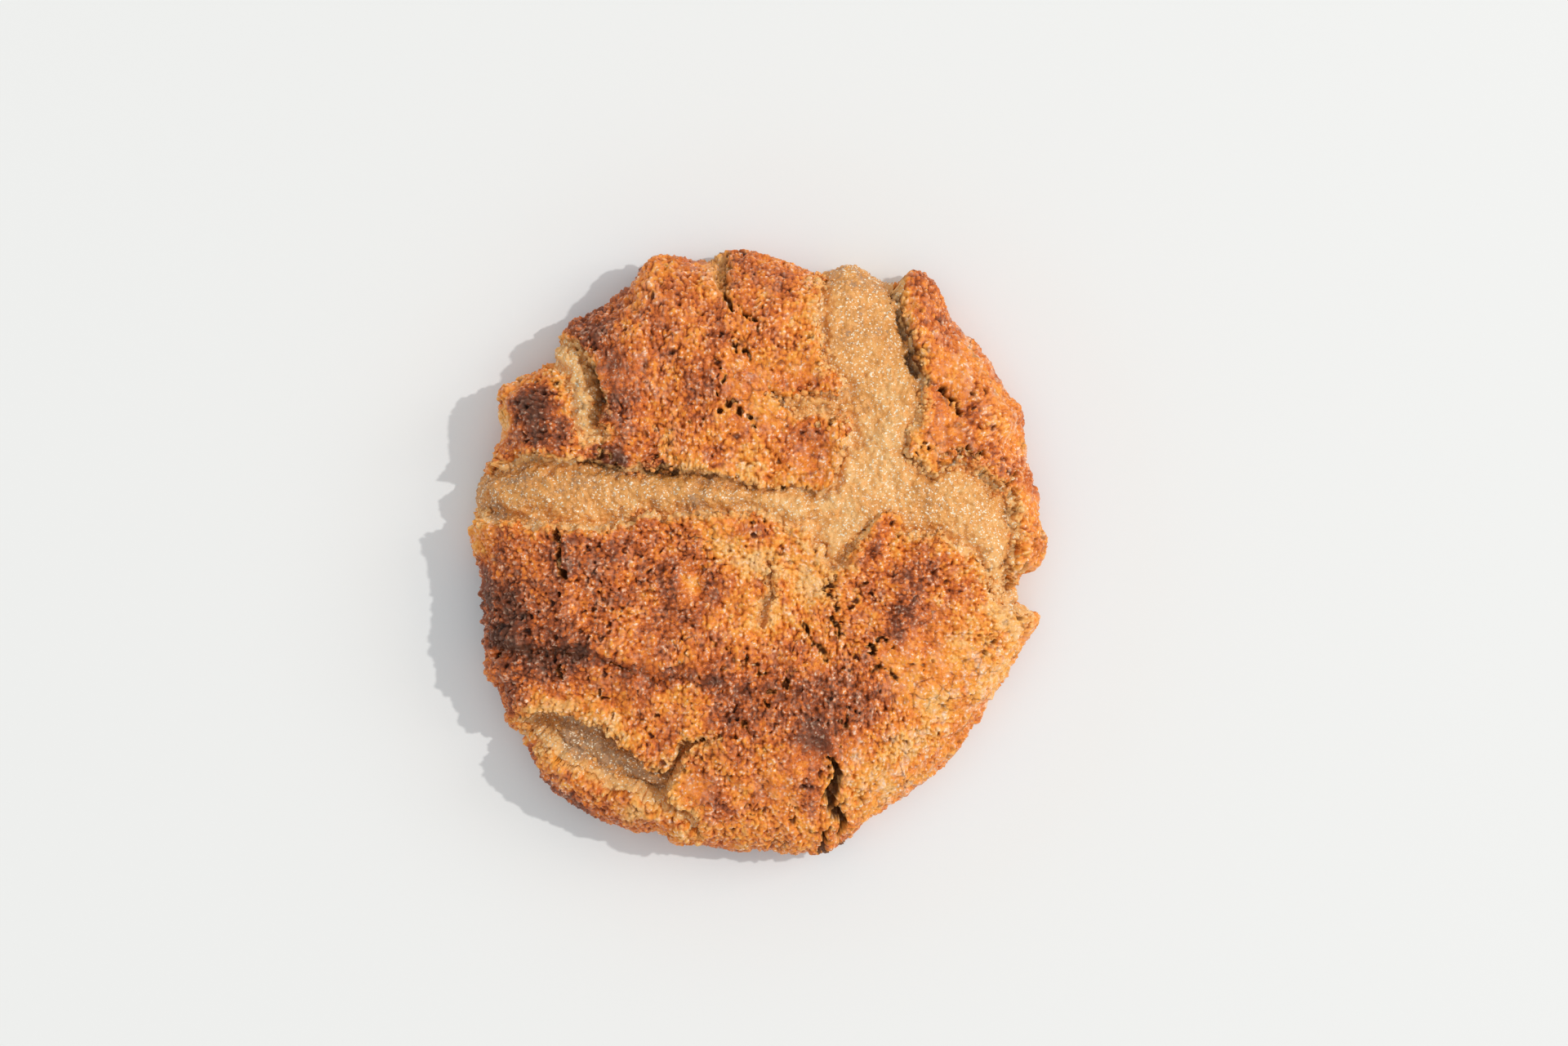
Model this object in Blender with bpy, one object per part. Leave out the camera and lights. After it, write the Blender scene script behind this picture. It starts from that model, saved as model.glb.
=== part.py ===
"""A thick peanut butter cookie whose browned crust has split into plates over pale dough.

Metres, +Z up. The origin is the middle of the flat underside, and +Y is the edge with the wide split.
Lengths in the tables below are millimetres.
"""

import math

import bmesh
import bpy
import numpy as np

MM = 0.001
NAME = "cookie"

# Overall form
MEAN_RADIUS = 46.0
CROWN_HEIGHT = 18.6
WAIST_HEIGHT = 6.4
FOOT_INSET = 3.6
CROWN_POWER = 5.0
SHOULDER_POWER = 0.5
RING_SPACING = 0.56
RING_CROWDING = 0.9
SPIN_STEPS = 360
SIDE_RINGS = 16
FOOT_RINGS = 4
TRIANGLES = 10800

# The edge seen from above, anticlockwise from the east: x, y
EDGE = [
    (44.9, -11.1), (42.2, -9.1), (41.1, -6.1), (41.9, -3.8), (45.4, -2.1), (47.0, 1.1),
    (45.5, 5.0), (44.3, 10.5), (43.0, 18.0), (43.1, 23.4), (40.9, 26.2), (37.2, 32.2),
    (34.0, 35.5), (31.1, 39.5), (28.1, 44.1), (25.0, 45.9), (23.2, 44.2), (19.8, 44.6),
    (14.5, 47.1), (9.4, 45.3), (7.1, 46.2), (1.0, 48.3), (-5.1, 49.0), (-8.5, 47.7),
    (-16.2, 48.2), (-18.8, 47.2), (-20.5, 44.5), (-24.6, 40.8), (-31.1, 37.1), (-33.4, 33.2),
    (-34.4, 30.4), (-40.5, 27.5), (-42.7, 25.5), (-42.0, 19.0), (-43.8, 16.1), (-47.1, 10.2),
    (-46.7, 7.0), (-47.3, 3.5), (-45.6, -5.5), (-44.9, -19.0), (-42.4, -22.8), (-41.2, -26.6),
    (-38.6, -30.2), (-34.6, -37.5), (-29.5, -41.5), (-21.8, -45.1), (-15.9, -45.8), (-13.8, -47.6),
    (-8.9, -47.4), (-2.2, -48.5), (7.0, -49.0), (12.3, -48.1), (20.9, -41.7), (30.5, -34.1),
    (37.0, -25.3), (41.5, -17.1),
]

# Splits in the crust that show the dough, each a drop and a chain of x, y, half width
GAPS = {
    "west_trench": (2.2, [
        (-49.0, 10.4, 2.2), (-43.0, 10.2, 4.3), (-36.0, 9.8, 5.0), (-27.0, 9.6, 4.8),
        (-20.0, 9.9, 4.0), (-15.0, 9.7, 3.9),
    ]),
    "middle_trench": (1.2, [
        (-12.0, 9.6, 3.8), (-4.0, 9.0, 2.9), (4.0, 7.6, 2.6), (10.0, 7.2, 3.3), (16.0, 9.0, 5.0),
    ]),
    "north_valley": (1.7, [
        (16.2, 49.0, 6.4), (16.6, 39.5, 7.8), (16.9, 34.2, 7.6), (19.2, 29.8, 6.4),
        (20.6, 26.2, 6.2), (19.2, 21.5, 5.6), (19.8, 17.5, 5.1), (18.8, 12.5, 6.6),
        (15.4, 7.4, 5.4), (12.2, 2.8, 3.8), (12.2, -0.4, 2.2),
    ]),
    "east_valley": (1.9, [
        (20.0, 10.2, 6.6), (27.0, 8.0, 5.2), (31.6, 8.6, 6.2), (35.6, 5.2, 6.0),
        (38.4, 0.8, 3.8), (38.6, -3.4, 2.8), (39.6, -7.2, 2.2), (43.0, -8.0, 2.4),
    ]),
    "slot": (1.5, [(3.6, 24.6, 0.8), (7.0, 23.9, 1.9), (12.0, 23.8, 1.9), (18.0, 24.5, 2.6)]),
    "north_west_gap": (1.5, [
        (-38.0, 33.6, 2.0), (-33.6, 32.4, 2.9), (-30.6, 30.8, 2.8), (-28.7, 27.4, 3.0),
        (-27.9, 23.4, 2.8), (-27.9, 20.4, 2.0),
    ]),
    "pocket": (4.4, [
        (-39.5, -28.6, 0.7), (-36.5, -29.2, 1.5), (-33.2, -30.4, 2.7), (-28.2, -32.6, 3.5),
        (-23.0, -35.8, 3.6), (-18.4, -37.8, 2.7), (-15.4, -36.6, 1.6), (-12.4, -32.4, 0.9),
        (-7.2, -29.9, 0.4),
    ]),
    "crumbled_end": (1.2, [(-16.0, -40.2, 0.8), (-12.2, -42.6, 1.0), (-10.8, -45.0, 0.6)]),
    "slit": (1.4, [(1.2, -1.6, 0.5), (1.4, -6.0, 0.9), (1.0, -10.6, 0.6), (0.9, -12.0, 0.4)]),
}

# Narrow dark cracks and pits, each a depth and a chain of x, y, half width
CRACKS = [
    (1.7, [(-7.0, 50.0, 1.2), (-6.4, 46.4, 1.2), (-6.1, 43.0, 0.9), (-5.0, 40.4, 0.6)]),
    (2.4, [(-4.4, 39.6, 0.4), (-2.4, 38.6, 0.5), (-0.9, 37.4, 0.3), (-0.8, 34.6, 0.2)]),
    (2.0, [(-5.1, 33.6, 0.3), (-2.4, 32.3, 0.5), (-1.9, 30.9, 0.2)]),
    (2.2, [(-5.6, 29.7, 0.2), (-6.4, 26.2, 0.6), (-5.7, 23.8, 0.7), (-2.8, 22.6, 0.5), (-0.5, 21.0, 0.2)]),
    (1.2, [(-12.5, 20.3, 0.2), (-7.5, 22.3, 0.2)]),
    (1.6, [(1.6, 25.6, 0.4), (3.7, 24.8, 0.4)]),
    (1.8, [(29.4, 15.6, 0.3), (32.6, 16.6, 0.5), (36.2, 15.0, 0.4)]),
    (1.8, [(-26.2, 16.8, 0.5), (-22.6, 14.9, 0.5)]),
    (1.6, [(-17.6, 13.9, 0.5), (-15.2, 13.0, 0.4)]),
    (1.8, [(-32.2, 4.5, 0.3), (-32.2, -0.5, 0.2), (-31.4, -3.8, 0.3)]),
    (3.2, [(11.4, -33.1, 0.2), (12.2, -36.7, 0.6), (11.5, -39.8, 0.7), (11.6, -42.0, 0.5)]),
    (3.2, [(12.4, -43.2, 0.7), (12.8, -46.4, 0.7)]),
    (3.4, [(9.9, -45.6, 0.3), (10.3, -50.5, 0.9)]),
    (1.8, [(5.4, -18.1, 0.3), (5.1, -21.1, 0.6), (3.1, -22.9, 0.3), (0.9, -23.9, 0.2)]),
    (1.5, [(6.9, -11.4, 0.2), (8.1, -15.1, 0.4), (9.8, -15.8, 0.3), (11.1, -18.1, 0.3)]),
    (1.5, [(12.9, -3.1, 0.4), (11.5, -6.1, 0.4), (12.2, -12.7, 0.2)]),
    (2.4, [(17.5, -15.5, 0.6), (19.0, -14.7, 0.8), (21.5, -14.9, 0.6)]),
    (1.4, [(18.9, -16.5, 0.2), (19.1, -18.6, 0.3), (17.9, -19.5, 0.2)]),
    (1.4, [(20.5, -19.1, 0.3), (22.2, -21.5, 0.2)]),
    (1.6, [(25.1, -17.9, 0.4), (26.6, -19.5, 0.2)]),
    (1.4, [(13.1, -27.1, 0.2), (13.5, -29.8, 0.3), (12.9, -31.7, 0.2)]),
    (1.3, [(-10.9, -10.6, 0.2), (-10.5, -14.1, 0.3)]),
    (1.3, [(-7.5, -14.1, 0.3), (-4.9, -15.1, 0.4), (-1.5, -17.5, 0.4), (0.5, -19.5, 0.2)]),
    (2.0, [(-32.8, -19.5, 0.6), (-32.2, -19.6, 0.6)]),
    (1.6, [(-23.5, -18.7, 0.3), (-20.2, -19.4, 0.4)]),
    (2.8, [(30.2, 26.5, 0.6), (31.5, 23.0, 0.7)]),
    (1.8, [(26.6, 17.6, 0.5), (27.4, 17.4, 0.5)]),
    (2.0, [(40.8, 12.4, 0.7), (39.4, 11.0, 0.7)]),
    (1.3, [(-1.6, -27.5, 0.3), (-1.9, -29.8, 0.4)]),
    (1.2, [(6.5, -41.0, 0.2), (5.8, -45.5, 0.2)]),
]

# Folds, mounds and dents of the crust, each a height, a reach and a chain of x, y
SWELLS = [
    (1.1, 9.0, [(-12.0, 36.0), (-9.0, 27.0)]),
    (0.9, 3.0, [(-19.5, 42.0), (-20.5, 30.0), (-21.0, 20.0)]),
    (0.8, 1.8, [(-23.8, 31.0), (-23.4, 21.0)]),
    (0.9, 3.2, [(-40.0, -11.5), (-31.0, -13.0), (-22.0, -16.0), (-10.0, -18.6)]),
    (-1.0, 1.1, [(-42.0, -16.6), (-30.0, -16.4), (-22.0, -19.0), (-12.0, -21.2)]),
    (-1.5, 4.6, [(-37.0, -21.5), (-24.0, -25.5)]),
    (1.0, 5.0, [(-20.0, -2.0), (-32.0, -4.0)]),
    (-1.3, 1.7, [(-9.9, -3.8), (-10.4, -4.4)]),
    (0.9, 4.2, [(25.0, -5.0), (22.5, -10.5)]),
    (1.3, 2.8, [(18.4, 4.6), (17.4, 0.6)]),
    (0.9, 4.0, [(34.0, 30.0), (38.0, 20.0)]),
    (0.8, 2.4, [(27.6, 40.0), (26.8, 31.0), (26.0, 23.0)]),
    (-0.9, 2.6, [(30.0, 36.0), (26.0, 40.0)]),
    (0.8, 5.0, [(10.0, -22.0), (4.0, -33.0)]),
    (-0.8, 3.4, [(-4.0, -24.0), (2.0, -14.0)]),
    (1.0, 3.0, [(-37.5, 23.0), (-38.5, 21.0)]),
    (0.7, 3.5, [(4.0, 40.0), (2.0, 34.0)]),
]

# Lumps of the surface, each an amplitude and a size
CRUST_LUMPS = [(0.75, 13.0), (0.5, 5.5), (0.28, 2.6)]
DOUGH_LUMPS = [(0.5, 9.0), (0.3, 4.0)]
SIDE_LUMPS = [(0.7, 9.0), (0.35, 3.6)]

EDGE_WANDER = [(0.75, 4.5), (0.5, 1.9)]

# How the crust breaks at a gap
WALL_WIDTH = 0.9
FOOT_GROOVE = 0.7
DOUGH_BULGE = 1.5
DOUGH_BULGE_REACH = 2.6
LEAST_DROP = 0.3
LIP_HEIGHT = 0.4
LIP_REACH = 1.5
CRUST_STEP = 0.6
CRACK_SLOPE = 0.55
# Gaps that meet run into each other over these lengths.
GAP_JOIN = 0.7
GAP_BLEND = 1.6
# A gap's edges close in by this much for each millimetre down the side from this height.
SIDE_CLOSING = 0.3
SIDE_TOP = 9.0
# The share of a fold that the dough under it takes on.
DOUGH_FOLD = 0.4

# The notches of the edge fade out between these shares of the radius, over this many degrees.
NOTCH_INNER = 0.8
NOTCH_OUTER = 1.0
NOTCH_SPREAD = 20.0
BEARINGS = 720

# How far a face's normal has to point up for folds and for cuts: none below the first, all above the second
FOLD_FACING = (0.15, 0.75)
CUT_FACING = (-0.2, 0.3)
FOOT_CLEARANCE = 3.0
# The skin passes over the tops of the grains.
GRAIN_TOPS = 0.45

NOISE_CELLS = 24
SEED_SHIFT = 0.37
CRUST_COLOUR = (0.52, 0.2, 0.06, 1.0)


def smooth_step(low, high, value):
    """0 below low, 1 above high, and a smooth rise between them."""
    share = np.clip((value - low) / (high - low), 0.0, 1.0)
    return share * share * (3.0 - 2.0 * share)


def lattice_noise(points, size, seed):
    """Smooth random values from -1 to 1 whose lumps are about this size."""
    table = np.random.default_rng(seed).uniform(-1.0, 1.0, (NOISE_CELLS,) * 3)
    spot = points / size + seed * SEED_SHIFT
    cell = np.floor(spot).astype(int)
    share = spot - cell
    share = share * share * (3.0 - 2.0 * share)
    total = np.zeros(len(points))
    for corner in np.ndindex(2, 2, 2):
        weight = np.prod(np.where(corner, share, 1.0 - share), axis=1)
        i, j, k = ((cell + corner) % NOISE_CELLS).T
        total += weight * table[i, j, k]
    return total


def lumps(points, layers, seed):
    """The sum of several layers of lumps, each an amplitude and a size."""
    return sum(
        amplitude * lattice_noise(points, size, seed + n) for n, (amplitude, size) in enumerate(layers)
    )


def chain_distance(x, y, chain):
    """Distance to the edge of a chain of x, y, half width: negative inside it."""
    nearest = np.full(len(x), np.inf)
    for (ax, ay, *a_width), (bx, by, *b_width) in zip(chain, chain[1:]):
        along_x, along_y = bx - ax, by - ay
        share = ((x - ax) * along_x + (y - ay) * along_y) / (along_x**2 + along_y**2)
        share = np.clip(share, 0.0, 1.0)
        away = np.hypot(x - ax - share * along_x, y - ay - share * along_y)
        if a_width:
            away = away - a_width[0] - share * (b_width[0] - a_width[0])
        nearest = np.minimum(nearest, away)
    return nearest


def smooth_loop(points, per_span=8):
    """A closed Catmull-Rom curve through the points."""
    knots = np.array(points)
    before, after, beyond = np.roll(knots, 1, 0), np.roll(knots, -1, 0), np.roll(knots, -2, 0)
    spans = []
    for t in np.arange(per_span) / per_span:
        spans.append(0.5 * (
            2.0 * knots + t * (after - before)
            + t**2 * (2.0 * before - 5.0 * knots + 4.0 * after - beyond)
            + t**3 * (3.0 * knots - before - 3.0 * after + beyond)
        ))
    return np.stack(spans, axis=1).reshape(-1, 2)


def edge_radius(bearing):
    """Radius of the edge seen from above at each bearing, in radians."""
    loop = smooth_loop(EDGE)
    angles = np.arctan2(loop[:, 1], loop[:, 0])
    order = np.argsort(angles)
    return np.interp(bearing, angles[order], np.hypot(*loop[order].T), period=2.0 * math.pi)


def edge_scale(bearing, radius):
    """How far the round section is stretched: evenly near the middle, and with every notch at the edge."""
    every = np.linspace(-math.pi, math.pi, BEARINGS, endpoint=False)
    turn = np.degrees(every) / NOTCH_SPREAD
    window = np.exp(-turn**2)
    spread = np.fft.fft(np.fft.ifftshift(window / window.sum()))
    even = np.real(np.fft.ifft(np.fft.fft(edge_radius(every)) * spread))
    soft = np.interp(bearing, every, even, period=2.0 * math.pi)
    share = smooth_step(NOTCH_INNER, NOTCH_OUTER, radius / MEAN_RADIUS)
    return (soft + (edge_radius(bearing) - soft) * share) / MEAN_RADIUS


def crown_profile():
    """Half the section of a plain round cookie, from the middle of its top to the middle of its base."""
    rings = int(MEAN_RADIUS / RING_SPACING)
    # The rings crowd together at the shoulder, where the dome turns down.
    share = np.sin(np.linspace(0.0, 0.5 * math.pi, rings + 1)) ** RING_CROWDING
    rise = CROWN_HEIGHT - WAIST_HEIGHT
    top = [
        (MEAN_RADIUS * f, WAIST_HEIGHT + rise * (1.0 - f**CROWN_POWER) ** SHOULDER_POWER)
        for f in share
    ]
    side = []
    for turn in np.linspace(0.0, 0.5 * math.pi, SIDE_RINGS + 1)[1:]:
        inset = FOOT_INSET * (1.0 - math.cos(turn))
        side.append((MEAN_RADIUS - inset, WAIST_HEIGHT * (1.0 - math.sin(turn))))
    foot = [
        (radius, 0.0)
        for radius in np.linspace(MEAN_RADIUS - FOOT_INSET, 0.0, FOOT_RINGS + 1)[1:]
    ]
    return top + side + foot


def spun_blank():
    """The plain round cookie as a mesh, in millimetres."""
    blank = bmesh.new()
    ring = [blank.verts.new((radius, 0.0, height)) for radius, height in crown_profile()]
    edges = [blank.edges.new(pair) for pair in zip(ring, ring[1:])]
    bmesh.ops.spin(
        blank, geom=ring + edges, cent=(0, 0, 0), axis=(0, 0, 1), angle=2.0 * math.pi,
        steps=SPIN_STEPS, use_merge=True, use_duplicate=False,
    )
    bmesh.ops.remove_doubles(blank, verts=blank.verts, dist=0.001)
    bmesh.ops.recalc_face_normals(blank, faces=blank.faces)
    blank.normal_update()
    return blank


def gap_fields(x, y, height):
    """Distance out from the nearest gap's edge, and how far the dough inside lies below the crust."""
    nearness, weights, depths = (np.zeros(len(x)) for _ in range(3))
    for depth, chain in GAPS.values():
        away = chain_distance(x, y, chain)
        nearness += np.exp(-away / GAP_JOIN)
        share = np.exp(-away / GAP_BLEND)
        weights += share
        depths += share * depth
    outside = SIDE_CLOSING * np.maximum(SIDE_TOP - height, 0.0) - GAP_JOIN * np.log(nearness)
    inside = np.maximum(-outside, 0.0)
    groove = FOOT_GROOVE * np.exp(-((inside - WALL_WIDTH) / WALL_WIDTH) ** 2)
    bulge = DOUGH_BULGE * (1.0 - np.exp(-inside / DOUGH_BULGE_REACH))
    return outside, np.maximum(depths / weights + groove - bulge, LEAST_DROP)


def crack_depths(x, y):
    """How far the cracks and pits cut into the crust."""
    cut = np.zeros(len(x))
    for depth, chain in CRACKS:
        away = chain_distance(x, y, chain)
        cut = np.maximum(cut, depth * smooth_step(-CRACK_SLOPE, 0.0, -away))
    return cut


def swells(x, y):
    """Height of the folds, mounds and dents."""
    total = np.zeros(len(x))
    for height, reach, chain in SWELLS:
        total += height * np.exp(-((chain_distance(x, y, chain) / reach) ** 2))
    return total


def sculpt(blank):
    """Moves each point of the round blank to where the split and lumpy cookie has it."""
    points = np.array([v.co for v in blank.verts])
    normals = np.array([v.normal for v in blank.verts])
    radius = np.hypot(points[:, 0], points[:, 1])
    reach = np.where(points[:, 2] < WAIST_HEIGHT, MEAN_RADIUS, radius)
    points[:, :2] *= edge_scale(np.arctan2(points[:, 1], points[:, 0]), reach)[:, None]

    x = points[:, 0] + lumps(points, EDGE_WANDER, seed=11)
    y = points[:, 1] + lumps(points, EDGE_WANDER, seed=21)
    outside, drop = gap_fields(x, y, points[:, 2])
    crust = smooth_step(0.0, CRUST_STEP, outside)
    lip = LIP_HEIGHT * np.exp(-((outside - LIP_REACH) / LIP_REACH) ** 2) * crust
    upward = smooth_step(*FOLD_FACING, normals[:, 2])
    raised = upward * (
        swells(x, y) * (DOUGH_FOLD + (1.0 - DOUGH_FOLD) * crust)
        + lip
        + crust * lumps(points, CRUST_LUMPS, seed=31)
        + (1.0 - crust) * lumps(points, DOUGH_LUMPS, seed=41)
    )
    sideways = (1.0 - upward) * lumps(points, SIDE_LUMPS, seed=51) + GRAIN_TOPS
    # The flat base and the foot stay as they are, so that the cookie rests level.
    clear_of_foot = smooth_step(0.0, FOOT_CLEARANCE, points[:, 2])
    sunken = drop * smooth_step(0.0, WALL_WIDTH, -outside)
    inward = (sunken + crack_depths(x, y)) * smooth_step(*CUT_FACING, normals[:, 2])
    points += normals * ((raised + sideways - inward) * clear_of_foot)[:, None]
    for vert, place in zip(blank.verts, points):
        vert.co = place * MM


def crust_material():
    material = bpy.data.materials.new("browned_crust")
    material.use_nodes = True
    shader = material.node_tree.nodes["Principled BSDF"]
    shader.inputs["Base Color"].default_value = CRUST_COLOUR
    shader.inputs["Roughness"].default_value = 0.6
    shader.inputs["Metallic"].default_value = 0.0
    return material


def clear_scene():
    for obj in list(bpy.data.objects):
        bpy.data.objects.remove(obj, do_unlink=True)


def build():
    clear_scene()
    parts = bpy.data.collections.new("peanut_butter_cookie")
    bpy.context.scene.collection.children.link(parts)
    blank = spun_blank()
    sculpt(blank)
    mesh = bpy.data.meshes.new(NAME)
    bmesh.ops.triangulate(blank, faces=blank.faces)
    faces = len(blank.faces)
    blank.to_mesh(mesh)
    blank.free()
    cookie = bpy.data.objects.new(NAME, mesh)
    parts.objects.link(cookie)
    cookie.data.materials.append(crust_material())
    # Fewer, larger triangles where the surface is smooth, and small ones at the broken edges.
    thinner = cookie.modifiers.new("fewer_triangles", "DECIMATE")
    thinner.ratio = TRIANGLES / faces
    return cookie


build()
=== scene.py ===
"""A thick peanut butter cookie: browned, grainy crust plates split over pale, moist dough.

Lengths in the tables are millimetres. +Y is the edge with the wide split, and +Z is up.
"""

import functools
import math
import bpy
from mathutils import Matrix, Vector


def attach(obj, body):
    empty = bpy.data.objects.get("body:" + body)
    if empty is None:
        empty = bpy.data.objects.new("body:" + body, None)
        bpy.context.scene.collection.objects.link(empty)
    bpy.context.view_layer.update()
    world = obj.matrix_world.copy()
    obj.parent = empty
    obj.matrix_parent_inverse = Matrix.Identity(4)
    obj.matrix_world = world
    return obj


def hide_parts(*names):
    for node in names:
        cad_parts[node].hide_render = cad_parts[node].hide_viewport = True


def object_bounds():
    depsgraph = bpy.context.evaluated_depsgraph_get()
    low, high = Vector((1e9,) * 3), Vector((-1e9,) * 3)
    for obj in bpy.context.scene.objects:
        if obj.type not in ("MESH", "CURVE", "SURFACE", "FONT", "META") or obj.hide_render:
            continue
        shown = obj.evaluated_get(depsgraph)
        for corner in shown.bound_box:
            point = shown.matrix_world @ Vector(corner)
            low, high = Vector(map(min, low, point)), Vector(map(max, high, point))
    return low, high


bl_info = {
    "name": "Peanut Butter Cookie",
    "version": (1, 0, 0),
    "blender": (4, 5, 0),
    "location": "3D View > Sidebar > Cookie",
    "description": "Models a browned, split cookie over its solid, on a pale floor",
    "category": "Object",
}

from types import SimpleNamespace

import bmesh
import bpy
import numpy as np
from mathutils import Vector

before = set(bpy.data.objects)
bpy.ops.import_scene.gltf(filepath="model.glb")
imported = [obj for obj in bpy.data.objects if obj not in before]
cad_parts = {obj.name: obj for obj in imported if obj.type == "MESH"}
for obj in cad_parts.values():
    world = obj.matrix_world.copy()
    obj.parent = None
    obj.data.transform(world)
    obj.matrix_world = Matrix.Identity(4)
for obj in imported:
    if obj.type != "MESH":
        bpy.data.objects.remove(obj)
SOLID_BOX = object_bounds()

MM = 0.001
BODY = "root"
NODE = "cookie"

# Overall form, the same as the solid's
MEAN_RADIUS = 46.0
CROWN_HEIGHT = 18.6
WAIST_HEIGHT = 6.4
FOOT_INSET = 3.6
CROWN_POWER = 5.0
FOOT_RETURN = 2.5

# The edge seen from above, anticlockwise from the east: x, y
EDGE = [
    (44.9, -11.1), (42.2, -9.1), (41.1, -6.1), (41.9, -3.8), (45.4, -2.1), (47.0, 1.1),
    (45.5, 5.0), (44.3, 10.5), (43.0, 18.0), (43.1, 23.4), (40.9, 26.2), (37.2, 32.2),
    (34.0, 35.5), (31.1, 39.5), (28.1, 44.1), (25.0, 45.9), (23.2, 44.2), (19.8, 44.6),
    (14.5, 47.1), (9.4, 45.3), (7.1, 46.2), (1.0, 48.3), (-5.1, 49.0), (-8.5, 47.7),
    (-16.2, 48.2), (-18.8, 47.2), (-20.5, 44.5), (-24.6, 40.8), (-31.1, 37.1), (-33.4, 33.2),
    (-34.4, 30.4), (-40.5, 27.5), (-42.7, 25.5), (-42.0, 19.0), (-43.8, 16.1), (-47.1, 10.2),
    (-46.7, 7.0), (-47.3, 3.5), (-45.6, -5.5), (-44.9, -19.0), (-42.4, -22.8), (-41.2, -26.6),
    (-38.6, -30.2), (-34.6, -37.5), (-29.5, -41.5), (-21.8, -45.1), (-15.9, -45.8), (-13.8, -47.6),
    (-8.9, -47.4), (-2.2, -48.5), (7.0, -49.0), (12.3, -48.1), (20.9, -41.7), (30.5, -34.1),
    (37.0, -25.3), (41.5, -17.1),
]

# Splits in the crust that show the dough, each a drop and a chain of x, y, half width
GAPS = {
    "west_trench": (2.2, [
        (-49.0, 10.4, 2.2), (-43.0, 10.2, 4.3), (-36.0, 9.8, 5.0), (-27.0, 9.6, 4.8),
        (-20.0, 9.9, 4.0), (-15.0, 9.7, 3.9),
    ]),
    "middle_trench": (1.2, [
        (-12.0, 9.6, 3.8), (-4.0, 9.0, 2.9), (4.0, 7.6, 2.6), (10.0, 7.2, 3.3), (16.0, 9.0, 5.0),
    ]),
    "north_valley": (1.7, [
        (16.2, 49.0, 6.4), (16.6, 39.5, 7.8), (16.9, 34.2, 7.6), (19.2, 29.8, 6.4),
        (20.6, 26.2, 6.2), (19.2, 21.5, 5.6), (19.8, 17.5, 5.1), (18.8, 12.5, 6.6),
        (15.4, 7.4, 5.4), (12.2, 2.8, 3.8), (12.2, -0.4, 2.2),
    ]),
    "east_valley": (1.9, [
        (20.0, 10.2, 6.6), (27.0, 8.0, 5.2), (31.6, 8.6, 6.2), (35.6, 5.2, 6.0),
        (38.4, 0.8, 3.8), (38.6, -3.4, 2.8), (39.6, -7.2, 2.2), (43.0, -8.0, 2.4),
    ]),
    "slot": (1.5, [(3.6, 24.6, 0.8), (7.0, 23.9, 1.9), (12.0, 23.8, 1.9), (18.0, 24.5, 2.6)]),
    "north_west_gap": (1.5, [
        (-38.0, 33.6, 2.0), (-33.6, 32.4, 2.9), (-30.6, 30.8, 2.8), (-28.7, 27.4, 3.0),
        (-27.9, 23.4, 2.8), (-27.9, 20.4, 2.0),
    ]),
    "pocket": (4.4, [
        (-39.5, -28.6, 0.7), (-36.5, -29.2, 1.5), (-33.2, -30.4, 2.7), (-28.2, -32.6, 3.5),
        (-23.0, -35.8, 3.6), (-18.4, -37.8, 2.7), (-15.4, -36.6, 1.6), (-12.4, -32.4, 0.9),
        (-7.2, -29.9, 0.4),
    ]),
    "crumbled_end": (1.2, [(-16.0, -40.2, 0.8), (-12.2, -42.6, 1.0), (-10.8, -45.0, 0.6)]),
    "slit": (1.4, [(1.2, -1.6, 0.5), (1.4, -6.0, 0.9), (1.0, -10.6, 0.6), (0.9, -12.0, 0.4)]),
}

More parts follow.
